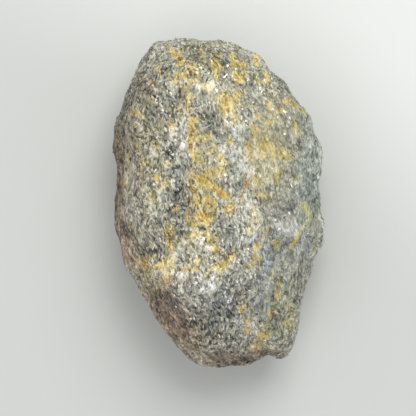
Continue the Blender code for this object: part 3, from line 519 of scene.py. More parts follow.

# Dark mica, and painted shade: the left rim and left side, the lower face and lower tip that turn
# away from the light, and the shaded hollows.
FRONT_DARK_AND_PAINTED_SHADE = (
    Mark(-1.6, 27.8, 5.0, 1.2, 0, 0.4),
    Mark(-0.6, 26.8, 1.1, 1.2, 0, 0.7),
    Mark(-8.6, 26.8, 1.4, 0.6, 0, 0.35),
    Mark(-4.4, 26.6, 1.0, 1.2, 0, 0.5),
    Mark(-5.0, 26.6, 1.4, 0.7, 0, 0.4),
    Mark(3.4, 26.2, 0.8, 0.6, 0, 0.35),
    Mark(3.2, 26.1, 1.0, 0.6, 0, 0.4),
    Mark(-11.2, 25.4, 0.8, 0.6, 0, 0.4),
    Mark(1.0, 25.4, 0.8, 0.6, 0, 0.5),
    Mark(0.2, 25.4, 1.6, 0.7, 0, 0.5),
    Mark(-1.6, 25.4, 0.7, 0.8, 0, 0.4),
    Mark(-0.4, 25.0, 1.8, 1.4, 0, 0.8),
    Mark(-0.6, 24.6, 1.8, 1.0, 0, 0.35),
    Mark(-7.0, 24.2, 1.4, 0.8, 0, 0.4),
    Mark(-3.4, 24.0, 1.0, 0.7, 0, 0.4),
    Mark(6.6, 23.1, 0.9, 0.6, 0, 0.35),
    Mark(-2.3, 22.9, 0.8, 0.8, 0, 0.5),
    Mark(0.6, 22.6, 0.9, 1.3, 0, 0.7),
    Mark(10.4, 22.6, 1.6, 0.9, 30, 0.35),
    Mark(-2.2, 22.4, 0.7, 0.9, 0, 0.4),
    Mark(-2.0, 21.8, 0.5, 0.8, 0, 0.4),
    Mark(11.6, 21.6, 1.0, 2.0, 40, 0.6),
    Mark(-13.0, 19.5, 3.2, 4.4, 14, 0.22),
    Mark(-4.5, 19.5, 1.0, 1.2, 0, 0.8),
    Mark(3.8, 19.4, 1.6, 1.4, 0, 0.35),
    Mark(-11.2, 18.8, 0.8, 0.7, 0, 0.5),
    Mark(3.0, 18.6, 1.8, 0.8, 0, 0.3),
    Mark(-10.8, 18.6, 0.8, 0.6, 0, 0.3),
    Mark(-7.6, 18.5, 1.2, 1.9, 15, 0.5),
    Mark(2.2, 18.5, 1.2, 0.8, 0, 0.35),
    Mark(12.4, 18.2, 1.2, 1.6, 0, 0.55),
    Mark(-16.6, 18.0, 0.9, 4.6, -16, 0.55),
    Mark(8.2, 17.5, 1.2, 0.9, 0, 0.3),
    Mark(-8.2, 17.2, 0.9, 1.2, 0, 0.5),
    Mark(-10.6, 16.0, 3.4, 6.0, 14, 0.37),
    Mark(-1.6, 15.4, 1.2, 0.6, 0, 0.8),
    Mark(-4.0, 15.2, 0.8, 0.5, 0, 0.4),
    Mark(-16.2, 15.0, 0.7, 1.0, 0, 0.4),
    Mark(-16.2, 14.6, 1.0, 1.8, 0, 0.4),
    Mark(13.4, 14.3, 1.0, 1.0, 0, 0.55),
    Mark(12.6, 13.8, 1.2, 0.8, 0, 0.3),
    Mark(-13.2, 13.2, 0.8, 1.0, 0, 0.3),
    Mark(-0.7, 13.0, 0.5, 1.2, 5, 0.8),
    Mark(-17.7, 12.6, 0.9, 5.6, 0, 0.55),
    Mark(-13.2, 12.6, 0.8, 1.6, 0, 0.35),
    Mark(1.3, 12.4, 0.5, 0.6, 0, 0.7),
    Mark(-16.3, 11.2, 0.6, 0.9, 0, 0.4),
    Mark(9.0, 11.0, 1.0, 0.8, 0, 0.4),
    Mark(9.4, 10.8, 1.4, 1.2, 0, 0.3),
    Mark(8.8, 10.6, 1.0, 0.9, 0, 0.3),
    Mark(5.2, 10.0, 0.5, 0.3, 0, 0.5),
    Mark(12.4, 10.0, 0.9, 0.9, 0, 0.3),
    Mark(-8.2, 9.9, 0.3, 0.8, -50, 0.8),
    Mark(-12.4, 9.4, 1.4, 1.6, 0, 0.2),
    Mark(-9.2, 9.2, 0.9, 0.7, 0, 0.7),
    Mark(-14.6, 8.6, 0.8, 0.8, 0, 0.35),
    Mark(-9.6, 8.4, 1.0, 1.2, 30, 0.8),
    Mark(-1.0, 8.2, 1.6, 1.0, 0, 0.35),
    Mark(-9.2, 8.2, 0.9, 2.4, 50, 0.5),
    Mark(-2.4, 7.6, 0.5, 0.5, 0, 0.5),
    Mark(-9.0, 7.6, 0.8, 2.0, 45, 0.5),
    Mark(-0.8, 7.4, 1.8, 1.0, 0, 0.35),
    Mark(-11.4, 6.4, 0.6, 0.6, 0, 0.5),
    Mark(-11.4, 6.4, 0.5, 0.8, 0, 0.35),
    Mark(-8.0, 5.8, 0.7, 0.7, 0, 0.4),
    Mark(-8.0, 5.6, 0.6, 0.6, 0, 0.3),
    Mark(0.8, 5.6, 0.6, 1.6, 0, 0.35),
    Mark(15.5, 5.4, 1.8, 1.4, 0, 0.3),
    Mark(0.8, 5.4, 0.6, 0.8, 0, 0.3),
    Mark(17.0, 5.2, 0.7, 3.0, 0, 0.45),
    Mark(1.2, 4.2, 0.7, 1.6, 0, 0.4),
    Mark(-19.0, 4.0, 1.0, 14.0, 0, 0.6),
    Mark(12.2, 3.4, 1.0, 2.4, 0, 0.35),
    Mark(1.5, 2.9, 0.6, 0.6, 0, 0.7),
    Mark(-6.9, 2.7, 0.7, 1.6, 0, 1.0),
    Mark(11.8, 2.4, 0.8, 1.0, 0, 0.3),
    Mark(12.0, 2.4, 0.5, 0.8, 0, 0.3),
    Mark(-18.4, 2.0, 0.9, 9.0, 0, 0.35),
    Mark(15.4, 1.8, 1.0, 2.0, 0, 0.45),
    Mark(3.0, 1.4, 0.7, 1.4, 50, 0.45),
    Mark(-6.4, 1.3, 0.6, 1.0, -40, 0.45),
    Mark(-6.6, 1.2, 0.6, 1.0, -20, 0.4),
    Mark(-14.9, 1.0, 0.7, 1.2, 20, 0.35),
    Mark(-7.8, 0.8, 0.7, 1.1, 0, 0.9),
    Mark(7.4, 0.6, 1.2, 1.6, 0, 0.3),
    Mark(-1.0, 0.2, 0.7, 0.8, 0, 0.35),
    Mark(17.2, 0.0, 0.9, 1.2, 0, 0.6),
    Mark(8.0, 0.0, 1.8, 0.8, 30, 0.5),
    Mark(-7.8, -0.4, 0.8, 1.0, 0, 0.9),
    Mark(-8.2, -0.6, 1.6, 0.7, 0, 0.5),
    Mark(-1.8, -0.8, 0.9, 1.1, 0, 0.5),
    Mark(11.4, -1.0, 1.9, 1.1, 0, 0.45),
    Mark(-8.0, -1.0, 3.0, 1.3, 0, 0.5),
    Mark(9.8, -1.2, 0.9, 0.8, 0, 0.35),
    Mark(-2.2, -1.2, 1.4, 1.0, 0, 0.3),
    Mark(-2.4, -1.4, 0.8, 0.8, 0, 0.4),
    Mark(6.0, -1.6, 1.4, 1.2, 0, 0.5),
    Mark(-0.5, -1.8, 0.7, 1.4, 0, 0.45),
    Mark(-2.4, -1.8, 1.4, 0.8, 0, 0.3),
    Mark(12.0, -2.0, 1.2, 1.2, 0, 0.4),
    Mark(-10.0, -2.2, 0.8, 0.8, 0, 0.35),
    Mark(0.0, -2.2, 0.6, 0.9, 0, 0.35),
    Mark(17.6, -2.4, 0.6, 1.8, 30, 0.4),
    Mark(-6.0, -2.6, 2.6, 1.0, 0, 0.55),
    Mark(6.2, -2.6, 0.8, 0.7, 0, 0.4),
    Mark(11.8, -3.2, 0.9, 0.9, 0, 0.35),
    Mark(14.6, -3.6, 0.8, 0.6, 0, 0.4),
    Mark(-7.7, -3.8, 0.6, 0.6, 0, 0.35),
    Mark(-11.0, -3.9, 0.5, 0.9, 0, 0.4),
    Mark(10.2, -4.4, 0.8, 1.6, 0, 0.35),
    Mark(2.0, -4.6, 0.8, 1.3, 0, 0.5),
    Mark(-17.0, -5.0, 0.8, 1.6, 0, 0.7),
    Mark(9.2, -5.0, 0.5, 0.4, 0, 0.6),
    Mark(9.6, -5.8, 0.7, 0.8, 0, 0.4),
    Mark(10.3, -5.8, 0.7, 1.0, 0, 0.4),
    Mark(-7.7, -6.8, 0.6, 1.8, 0, 0.45),
    Mark(-7.7, -7.0, 0.7, 1.4, 0, 0.5),
    Mark(11.2, -7.2, 0.9, 1.3, 0, 0.5),
    Mark(7.8, -7.2, 1.4, 1.0, 0, 0.35),
    Mark(-12.6, -7.6, 1.0, 0.6, 0, 0.4),
    Mark(-12.4, -7.6, 1.2, 0.6, 30, 0.8),
    Mark(-13.0, -7.8, 2.0, 0.9, 0, 0.45),
    Mark(1.0, -7.8, 0.9, 2.0, 20, 0.4),
    Mark(0.5, -8.0, 0.5, 1.0, 0, 0.7),
    Mark(12.0, -8.0, 0.7, 1.0, 0, 0.3),
    Mark(11.4, -8.0, 0.5, 1.6, -20, 0.35),
    Mark(13.4, -8.2, 0.22, 2.2, -28, 0.5),
    Mark(-10.6, -8.5, 1.6, 1.2, 0, 0.3),
    Mark(-12.4, -8.6, 2.2, 0.9, 5, 0.7),
    Mark(-14.6, -8.6, 0.9, 0.7, 0, 0.4),
    Mark(-9.8, -9.0, 1.0, 0.8, 0, 0.3),
    Mark(-11.0, -9.0, 0.7, 1.2, 30, 0.3),
    Mark(1.2, -9.5, 1.3, 0.3, 4, 0.7),
    Mark(2.4, -9.6, 1.8, 1.0, 0, 0.3),
    Mark(1.0, -10.9, 0.3, 2.8, -35, 0.6),
    Mark(13.0, -11.0, 1.8, 2.4, 0, 0.35),
    Mark(-6.2, -11.1, 0.9, 0.7, 0, 0.55),
    Mark(-6.3, -11.1, 0.8, 0.6, 0, 0.4),
    Mark(4.0, -11.4, 2.4, 0.8, 0, 0.5),
    Mark(14.0, -13.8, 1.0, 0.8, 0, 0.4),
    Mark(5.6, -13.9, 1.0, 1.0, 0, 0.25),
    Mark(2.8, -14.2, 0.8, 1.4, 0, 0.35),
    Mark(10.7, -14.4, 0.22, 3.0, -13, 0.6),
    Mark(5.6, -15.4, 0.7, 0.5, 0, 0.6),
    Mark(-12.6, -15.4, 1.2, 3.2, 30, 0.3),
    Mark(7.6, -15.4, 0.22, 3.0, -11, 0.5),
    Mark(12.4, -16.2, 0.22, 3.4, -12, 0.6),
    Mark(7.2, -16.4, 0.7, 1.6, 0, 0.35),
    Mark(-0.4, -16.5, 0.7, 0.5, 0, 1.0),
    Mark(-9.8, -16.6, 1.5, 1.8, 30, 0.7),
    Mark(3.4, -16.6, 0.8, 0.5, 0, 0.6),
    Mark(3.6, -17.2, 1.0, 0.9, 0, 0.4),
    Mark(-7.4, -17.6, 0.8, 0.9, 0, 0.6),
    Mark(13.9, -17.6, 0.22, 2.4, -10, 0.5),
    Mark(0.2, -18.0, 0.7, 0.5, 0, 0.8),
    Mark(7.5, -18.0, 1.6, 1.2, 0, 0.35),
    Mark(8.4, -18.0, 0.6, 1.4, -10, 0.5),
    Mark(1.6, -19.0, 1.8, 1.6, 0, 0.35),
    Mark(6.9, -19.0, 1.0, 1.2, 0, 0.5),
    Mark(9.9, -19.4, 0.25, 2.0, -14, 0.6),
    Mark(-1.2, -19.4, 1.6, 0.7, 20, 0.6),
    Mark(-4.4, -20.0, 2.0, 1.6, 0, 0.5),
    Mark(-0.6, -20.0, 2.2, 1.0, 0, 0.4),
    Mark(13.8, -20.0, 0.8, 1.2, 0, 0.3),
    Mark(13.2, -20.0, 0.6, 1.2, 0, 0.35),
    Mark(-0.6, -20.2, 1.0, 0.8, 0, 0.55),
    Mark(2.2, -20.4, 0.9, 0.7, 0, 0.7),
    Mark(3.0, -21.0, 0.8, 0.6, 0, 0.45),
    Mark(3.0, -21.0, 0.8, 0.6, 0, 0.4),
    Mark(-8.8, -21.6, 1.6, 3.4, 38, 0.35),
    Mark(10.4, -21.6, 0.9, 2.4, -8, 0.4),
    Mark(9.1, -21.6, 0.22, 2.4, -9, 0.5),
    Mark(-3.0, -21.8, 3.6, 4.4, 0, 0.42),
    Mark(11.0, -21.8, 0.7, 0.8, 0, 0.35),
    Mark(7.5, -22.0, 0.7, 1.6, 0, 0.45),
    Mark(-1.6, -22.4, 1.4, 2.2, 0, 0.7),
    Mark(-0.6, -23.8, 1.6, 0.8, 0, 0.9),
    Mark(12.8, -24.0, 0.7, 0.9, 0, 0.3),
    Mark(11.4, -24.0, 0.22, 2.0, -8, 0.5),
    Mark(0.8, -24.2, 2.0, 1.4, 0, 0.4),
    Mark(0.8, -24.2, 2.2, 0.9, 0, 0.35),
    Mark(2.0, -24.4, 1.6, 1.2, 0, 0.4),
    Mark(-1.0, -24.6, 3.4, 2.8, 0, 0.28),
    Mark(1.2, -25.0, 1.2, 1.2, 0, 0.6),
    Mark(2.0, -26.2, 1.4, 0.8, 0, 0.4),
    Mark(8.5, -27.2, 0.9, 0.5, -10, 1.2),
    Mark(6.0, -27.4, 1.0, 0.5, 0, 0.4),
    Mark(10.6, -27.5, 1.0, 0.6, 0, 0.5),
    Mark(10.6, -27.5, 1.2, 0.5, 0, 0.4),
    Mark(5.0, -28.4, 1.5, 0.5, -10, 1.0),
)

# Warm reddish brown on the left and lower rims and the lower face: painted shade with a painted warm
# reflection.
FRONT_BROWN_PAINTED_SHADE = (
    Mark(-14.0, 22.0, 1.6, 4.5, 25, 0.4),
    Mark(-14.6, 9.0, 2.4, 9.0, 8, 0.25),
    Mark(-18.7, 5.0, 1.9, 13.0, 0, 1.0),
    Mark(-17.0, -8.0, 2.4, 5.6, 20, 0.9),
    Mark(-10.5, -16.8, 2.4, 2.6, 30, 0.6),
    Mark(-9.8, -21.0, 3.6, 6.0, 38, 1.0),
    Mark(-1.0, -22.0, 8.0, 6.0, 0, 0.14),
    Mark(-6.8, -23.0, 2.4, 3.2, 30, 0.8),
    Mark(8.7, -27.4, 2.6, 1.4, 0, 1.0),
    Mark(2.0, -28.6, 7.0, 1.8, 0, 0.9),
)

# Bluish grey of fresh mica, and a painted cool reflection on the right of the crest.
FRONT_BLUE_AND_PAINTED_REFLECTION = (
    Mark(5.4, 14.8, 1.6, 2.0, 0, 0.4),
    Mark(-1.0, 14.6, 2.0, 2.4, 0, 0.4),
    Mark(14.8, 14.0, 1.6, 4.0, 10, 0.6),
    Mark(3.8, 12.0, 1.6, 3.6, 0, 0.5),
    Mark(17.0, 8.0, 1.6, 4.0, 0, 0.2),
    Mark(3.0, 6.0, 1.5, 3.2, 10, 0.6),
    Mark(15.4, 3.0, 2.6, 9.0, 5, 0.7),
    Mark(2.2, -6.0, 1.8, 2.6, 0, 0.5),
    Mark(14.6, -7.4, 3.4, 1.6, -15, 0.8),
    Mark(8.0, -8.8, 3.0, 4.0, 20, 0.8),
    Mark(-6.0, -17.6, 2.4, 1.2, 20, 0.4),
    Mark(8.6, -18.0, 1.6, 6.0, -10, 0.6),
    Mark(0.0, -18.6, 5.0, 4.0, 0, 0.2),
    Mark(1.0, -20.0, 3.0, 4.0, 0, 0.4),
)

# Greenish grey painted on the right rim, as the cool light that falls there.
FRONT_GREEN_PAINTED_LIGHT = (
    Mark(9.0, 25.0, 3.0, 2.0, 0, 0.4),
    Mark(16.8, 3.0, 2.8, 14.0, 0, 0.6),
    Mark(16.4, -1.6, 2.0, 2.6, 0, 0.8),
    Mark(12.0, -18.0, 2.6, 7.0, -10, 0.6),
)

# Patches where the grains are closer in tone.
FRONT_EVEN = (
    Mark(3.0, 18.0, 4.0, 4.0, 0, 0.4),
    Mark(14.0, 12.0, 4.0, 8.0, 10, 0.5),
    Mark(9.5, 8.0, 7.0, 13.0, 8, 0.95),
    Mark(-2.5, 6.0, 2.6, 6.0, 0, 0.3),
    Mark(-18.2, 4.0, 1.6, 13.0, 0, 0.6),
    Mark(14.0, -5.0, 4.4, 8.0, 0, 0.8),
    Mark(10.0, -16.0, 4.6, 11.0, -8, 0.8),
    Mark(-11.0, -18.0, 2.6, 8.0, 35, 0.4),
    Mark(1.0, -28.2, 8.0, 1.4, 0, 0.6),
)

# A thin yellowish cast between the patches of stain.
FRONT_WASH = (
    Mark(-2.4, 28.2, 4.0, 1.4, 0, 0.9),
    Mark(-3.0, 25.0, 8.0, 3.4, 0, 1.0),
    Mark(2.0, 18.6, 4.0, 4.0, 0, 0.4),
    Mark(9.0, 17.0, 7.0, 7.0, 0, 0.7),
    Mark(-13.0, 10.0, 5.0, 18.0, 0, 0.8),
    Mark(-2.5, 10.0, 3.0, 14.0, 0, 0.5),
    Mark(9.0, 6.0, 5.0, 7.0, 0, 0.85),
    Mark(-18.0, 6.0, 2.0, 12.0, 0, 0.5),
    Mark(3.0, 2.0, 4.0, 9.0, 0, 0.4),
    Mark(-6.0, -8.0, 8.0, 5.0, 0, 0.5),
    Mark(15.0, -8.0, 3.0, 6.0, -10, 0.2),
    Mark(-13.0, -13.0, 3.6, 5.0, 30, 0.8),
    Mark(10.0, -21.0, 4.0, 7.0, -8, 0.6),
    Mark(-4.0, -24.0, 7.0, 5.0, 20, 0.45),
    Mark(-5.4, -26.0, 2.0, 1.6, 30, 0.5),
)

# Deep orange rust in the thickest of the stain.
FRONT_RUST = (
    Mark(-7.4, 26.2, 0.4, 1.4, 45, 0.6),
    Mark(6.6, 25.6, 0.4, 0.8, 18, 0.7),
    Mark(3.4, 22.3, 0.5, 0.7, 0, 0.6),
    Mark(-4.8, 13.0, 0.5, 1.2, 8, 0.5),
    Mark(2.4, 10.3, 0.4, 0.5, 0, 0.7),
    Mark(5.6, 9.6, 0.6, 1.0, 0, 0.8),
    Mark(4.9, 3.3, 0.5, 0.7, 0, 0.9),
    Mark(8.1, 2.2, 0.7, 0.8, 0, 0.5),
    Mark(0.4, 1.6, 0.5, 1.4, 50, 0.6),
    Mark(1.6, -1.1, 0.5, 0.7, 0, 1.0),
    Mark(-2.6, -2.5, 1.0, 0.8, 0, 0.6),
    Mark(-8.8, -6.6, 0.4, 0.8, 0, 0.5),
    Mark(6.8, -8.3, 0.4, 0.5, 0, 0.8),
    Mark(-0.7, -8.7, 0.6, 0.8, 0, 0.6),
    Mark(2.5, -9.2, 0.4, 0.4, 0, 0.9),
    Mark(-13.4, -10.9, 0.7, 0.7, 0, 0.9),
    Mark(-10.5, -11.6, 0.7, 0.5, 0, 0.6),
    Mark(-9.1, -14.2, 0.6, 0.6, 0, 1.0),
    Mark(9.5, -19.8, 0.5, 0.6, 0, 1.0),
    Mark(5.1, -22.5, 0.6, 0.7, 0, 0.8),
)

# The back is made up in the manner of the front, with broader patches.
BACK_OCHRE = (
    Mark(-3.4, 21.8, 1.2, 3.4, 4, 0.7),
    Mark(6.2, 18.4, 2.4, 2.8, 30, 0.6),
    Mark(-9.0, 17.0, 2.2, 5.0, 14, 0.6),
    Mark(2.4, 11.0, 0.9, 4.4, 12, 0.6),
    Mark(12.6, 9.0, 1.4, 4.8, 8, 0.7),
    Mark(-14.4, 6.0, 1.2, 4.4, 6, 0.6),
    Mark(-2.0, 3.0, 1.4, 3.4, 10, 0.5),
    Mark(-10.8, -3.8, 1.8, 3.6, 12, 0.7),
    Mark(8.8, -6.4, 2.0, 3.8, 4, 0.7),
    Mark(13.0, -12.2, 1.0, 4.4, -8, 0.6),
    Mark(-7.8, -13.0, 1.2, 4.8, 18, 0.8),
    Mark(4.2, -14.8, 1.4, 3.0, 10, 0.6),
    Mark(1.0, -22.4, 2.8, 1.8, -20, 0.7),
)

BACK_RUST = (
    Mark(-3.4, 21.2, 0.6, 1.4, 4, 0.8),
    Mark(12.8, 8.4, 0.7, 1.8, 8, 0.7),
    Mark(8.6, -6.0, 0.8, 1.4, 4, 0.7),
    Mark(-8.0, -12.4, 0.6, 1.6, 18, 0.8),
)

BACK_PALE = (
    Mark(4.0, 24.6, 2.6, 1.2, -10, 0.6),
    Mark(9.6, 14.6, 1.8, 2.4, 20, 0.8),
    Mark(-5.0, 13.2, 2.2, 3.2, 14, 0.7),
    Mark(14.6, -1.4, 1.2, 3.6, 4, 0.6),
    Mark(-12.0, -8.0, 1.6, 2.8, 16, 0.7),
    Mark(-2.8, -16.6, 1.4, 2.6, 12, 0.7),
    Mark(6.0, -19.4, 2.0, 1.8, 0, 0.8),
)

BACK_DARK = (
    Mark(-7.8, 23.8, 2.2, 1.6, 20, 0.6),
    Mark(1.6, 16.4, 1.6, 2.8, 8, 0.7),
    Mark(-12.6, 12.2, 1.6, 3.6, 12, 0.7),
    Mark(14.6, 5.2, 1.4, 3.0, 6, 0.6),
    Mark(7.0, 4.0, 1.4, 3.2, 10, 0.5),
    Mark(-14.4, -2.2, 1.4, 3.0, 8, 0.6),
    Mark(10.4, -16.4, 1.6, 3.6, 0, 0.7),
    Mark(-5.2, -19.0, 2.0, 3.4, 22, 0.8),
)

BACK_BROWN = (
    Mark(-6.0, 24.0, 5.0, 3.0, 10, 0.6),
    Mark(-16.0, 4.0, 2.6, 12.0, 0, 0.8),
    Mark(14.2, -8.0, 2.0, 6.0, 0, 0.5),
    Mark(0.0, -25.4, 7.0, 3.0, 0, 0.9),
)

BACK_BLUE = (
    Mark(8.0, 10.0, 4.0, 7.0, 10, 0.7),
    Mark(-6.0, -6.0, 4.0, 6.0, 10, 0.6),
)

BACK_GREEN = (
    Mark(15.4, 4.0, 2.4, 9.0, 0, 0.8),
    Mark(3.0, -18.0, 4.0, 4.0, 0, 0.5),
)

BACK_EVEN = (
    Mark(6.0, 6.0, 6.0, 9.0, 8, 0.6),
    Mark(-5.0, -10.0, 5.0, 7.0, 12, 0.5),
)

BACK_WASH = (
    Mark(0.0, 18.0, 10.0, 8.0, 0, 0.6),
    Mark(10.0, -4.0, 4.0, 9.0, 0, 0.5),
    Mark(-6.0, -8.0, 6.0, 9.0, 10, 0.5),
)

ZONE_MARKS = {
    Zone.OCHRE: (FRONT_OCHRE, BACK_OCHRE),
    Zone.RUST: (FRONT_RUST, BACK_RUST),
    Zone.PALE: (FRONT_PALE_AND_PAINTED_LIGHT, BACK_PALE),
    Zone.DARK: (FRONT_DARK_AND_PAINTED_SHADE, BACK_DARK),
    Zone.BROWN: (FRONT_BROWN_PAINTED_SHADE, BACK_BROWN),
    Zone.BLUE: (FRONT_BLUE_AND_PAINTED_REFLECTION, BACK_BLUE),
    Zone.GREEN: (FRONT_GREEN_PAINTED_LIGHT, BACK_GREEN),
    Zone.EVEN: (FRONT_EVEN, BACK_EVEN),
    Zone.WASH: (FRONT_WASH, BACK_WASH),
}

# Holes, knobs, grooves and ridges between the grains: place, reach, lean and depth, negative if raised.
FRONT_RELIEF = (
    Mark(-7.7, 26.4, 0.4, 2.2, 45, 0.25),
    Mark(3.0, 24.0, 0.4, 2.4, 12, 0.25),
    Mark(-10.6, 18.8, 0.5, 3.6, 22, 0.28),
    Mark(-1.6, 15.4, 1.2, 0.6, 0, 0.35),
    Mark(-13.2, 14.0, 0.5, 4.0, 16, 0.25),
    Mark(-0.7, 13.0, 0.5, 1.4, 5, 0.40),
    Mark(1.3, 12.4, 0.5, 0.6, 0, 0.35),
    Mark(-6.6, 10.3, 0.7, 0.9, 12, -0.40),
    Mark(-8.3, 9.6, 0.6, 0.8, 20, 0.55),
    Mark(-9.6, 9.1, 0.5, 0.6, 20, 0.40),
    Mark(9.5, 6.8, 2.4, 0.30, 14, -0.16),
    Mark(-11.4, 6.2, 0.5, 0.7, 0, 0.35),
    Mark(-6.9, 2.6, 0.7, 1.6, 0, 0.50),
    Mark(2.0, 2.3, 0.5, 0.5, 0, -0.35),
    Mark(-7.8, 0.8, 0.7, 1.1, 0, 0.45),
    Mark(17.0, -0.2, 0.8, 1.2, 0, 0.30),
    Mark(-3.4, -7.0, 0.7, 0.7, 0, -0.35),
    Mark(11.2, -7.2, 0.8, 1.2, 0, 0.30),
    Mark(-1.4, -8.2, 0.9, 0.7, 0, -0.30),
    Mark(4.2, -8.3, 3.0, 0.45, 14, 0.26),
    Mark(4.4, -9.2, 3.4, 0.40, 14, -0.32),
    Mark(1.0, -10.8, 0.35, 3.2, -35, 0.40),
    Mark(5.6, -15.4, 0.7, 0.5, 0, 0.50),
    Mark(-1.3, -15.5, 1.0, 0.7, 0, -0.45),
    Mark(-3.3, -15.8, 0.8, 0.5, 0, -0.30),
    Mark(9.9, -16.2, 0.35, 4.4, -13, 0.30),
    Mark(-6.6, -16.3, 0.8, 0.5, 10, -0.30),
    Mark(-0.4, -16.7, 0.7, 0.5, 0, 0.55),
    Mark(3.3, -16.8, 0.7, 0.5, 0, 0.50),
    Mark(12.9, -17.4, 0.30, 4.4, -9, 0.22),
    Mark(0.3, -17.9, 0.6, 0.5, 0, 0.45),
    Mark(11.6, -18.6, 0.30, 4.6, -11, 0.26),
    Mark(8.0, -19.6, 0.35, 4.2, -8, 0.24),
    Mark(6.2, -21.4, 0.35, 3.0, -4, 0.22),
    Mark(8.5, -27.0, 0.9, 0.7, -35, 0.50),
)


@dataclass(frozen=True)
class SchistSpace:
    """The rock's own directions: blades run along its y and sheets lie across its z."""

    lean: float = LINEATION_LEAN
    dip: float = SHEET_DIP
    sway: float = 1.1
    sway_length: float = 9.0

    def turn(self) -> Matrix:
        """Works out how the rock's axes lie.

        Returns:
            The turn from the frame's axes to the rock's.
        """
        lean = Matrix.Rotation(math.radians(-self.lean), 3, "Z")
        dip = Matrix.Rotation(math.radians(-self.dip), 3, "Y")
        return dip @ lean

    def blade_direction(self) -> Vector:
        """Returns the way the blades run, on the frame's axes."""
        return self.turn().transposed() @ Vector((0.0, 1.0, 0.0))

    def place(self, point: Vector) -> Vector:
        """Takes a point to the rock's axes, with the sway of its layers.

        Args:
            point: A point on the frame's axes, in millimetres.

        Returns:
            The same point on the rock's swaying axes.
        """
        sway = noise.noise_vector(point / self.sway_length) * self.sway
        return self.turn() @ (point + sway)


@dataclass(frozen=True)
class ZoneMap:
    """Spreads the zones of stain, mineral, wear, painted shade and painted light over points of the
    stone.
    """

    waist: float = WAIST_HEIGHT
    blend: float = 2.4

    def front_share(self, points: np.ndarray) -> np.ndarray:
        """Works out how far each point belongs to the front face.

        Args:
            points: One row of x, y and z per point, in millimetres.

        Returns:
            One value per point, 0 on the back and 1 on the front.
        """
        rise = (points[:, 2] - self.waist + self.blend) / (2.0 * self.blend)
        rise = np.clip(rise, 0.0, 1.0)
        return rise * rise * (3.0 - 2.0 * rise)

    def as_seen(self, points: np.ndarray) -> np.ndarray:
        """Moves points to where the camera sees them at the height of the waist.

        Args:
            points: One row of x, y and z per point, in millimetres.

        Returns:
            The moved points.
        """
        scale = EYE_HEIGHT / (EYE_HEIGHT - (points[:, 2] - self.waist))
        seen = points.copy()
        for axis, centre in enumerate(VIEW_CENTRE):
            seen[:, axis] = centre + (points[:, axis] - centre) * scale
        return seen

    def spread(self, marks: tuple[Mark, ...], points: np.ndarray) -> np.ndarray:
        """Lays marks over each other without going past full cover.

        Args:
            marks: The marks of one zone on one face.
            points: One row of x, y and z per point, in millimetres.

        Returns:
            One value per point, from 0 to 1.
        """
        bare = np.ones(len(points))
        for mark in marks:
            bare *= 1.0 - np.clip(mark.cover(points), 0.0, 1.0)
        return 1.0 - bare

    def cover(self, zone: Zone, points: np.ndarray) -> np.ndarray:
        """Works out how strongly a zone covers each point of the whole stone.

        Args:
            zone: The zone.
            points: One row of x, y and z per point, in millimetres.

        Returns:
            One value per point, from 0 to 1.
        """
        front, back = ZONE_MARKS[zone]
        share = self.front_share(points)
        seen = self.as_seen(points)
        return share * self.spread(front, seen) + (1.0 - share) * self.spread(back, points)

    def write(self, mesh: bpy.types.Mesh) -> None:
        """Stores every zone on a mesh's vertices, as attributes that a finish can read.

        Args:
            mesh: The mesh to mark.
        """
        points = vertex_points(mesh)
        for zone in Zone:
            attribute = mesh.attributes.new(zone.value, "FLOAT", "POINT")
            attribute.data.foreach_set("value", self.cover(zone, points).astype(np.float32))


def vertex_points(mesh: bpy.types.Mesh) -> np.ndarray:
    """Reads where a mesh's vertices are.

    Args:
        mesh: The mesh.

    Returns:
        One row of x, y and z per vertex, in millimetres.
    """
    flat = np.empty(len(mesh.vertices) * 3)
    mesh.vertices.foreach_get("co", flat)
    return flat.reshape(-1, 3) / MM


def mesh_from(shape: bmesh.types.BMesh, name: str) -> bpy.types.Mesh:
    """Writes a bmesh to a new mesh and frees it.

    Args:
        shape: The bmesh, which can't be used afterwards.
        name: The mesh's name.

    Returns:
        The new mesh.
    """
    mesh = bpy.data.meshes.new(name)
    shape.to_mesh(mesh)
    shape.free()
    return mesh


def piece_from(mesh: bpy.types.Mesh) -> bpy.types.Object:
    """Puts a mesh into the scene as a piece of its own name.

    Args:
        mesh: The piece's mesh.

    Returns:
        The piece.
    """
    piece = bpy.data.objects.new(mesh.name, mesh)
    bpy.context.scene.collection.objects.link(piece)
    return piece


class Wire:
    """A shader value whose arithmetic adds Math nodes."""

    def __init__(self, bench: NodeBench, socket: bpy.types.NodeSocket) -> None:
        """Keeps the socket and the bench that adds nodes."""
        self.bench = bench
        self.socket = socket

    def math(self, operation: str, first: Feed, second: Feed) -> Wire:
        """Adds one Math node.

        Args:
            operation: The Math node's operation.
            first: A number or a wire.
            second: A number or a wire.

        Returns:
            The node's result.
        """
        sockets = {0: first, 1: second}
        return self.bench.node("ShaderNodeMath", {"operation": operation}, sockets, "Value")

    def __add__(self, other: Feed) -> Wire:
        """Adds."""
        return self.math("ADD", self, other)

    __radd__ = __add__

    def __sub__(self, other: Feed) -> Wire:
        """Subtracts."""
        return self.math("SUBTRACT", self, other)

    def __rsub__(self, other: Feed) -> Wire:
        """Subtracts from a number."""
        return self.math("SUBTRACT", other, self)

    def __mul__(self, other: Feed) -> Wire:
        """Multiplies."""
        return self.math("MULTIPLY", self, other)

    __rmul__ = __mul__

    def step(self, low: float, high: float) -> Wire:
        """Turns the value into a soft step.

        Args:
            low: Where the step begins to rise from 0.
            high: Where it reaches 1.

        Returns:
            The step.
        """
        settings = {"interpolation_type": "SMOOTHSTEP"}
        sockets = {"Value": self, "From Min": low, "From Max": high}
        return self.bench.node("ShaderNodeMapRange", settings, sockets, "Result")

    def centred(self) -> Wire:
        """Moves a value of 0 to 1 to lie around 0."""
        return self - 0.5

    def sibling(self, name: str) -> Wire:
        """Returns another output of the node that this value comes from."""
        return Wire(self.bench, self.socket.node.outputs[name])


Feed = Wire | float | tuple[float, ...]


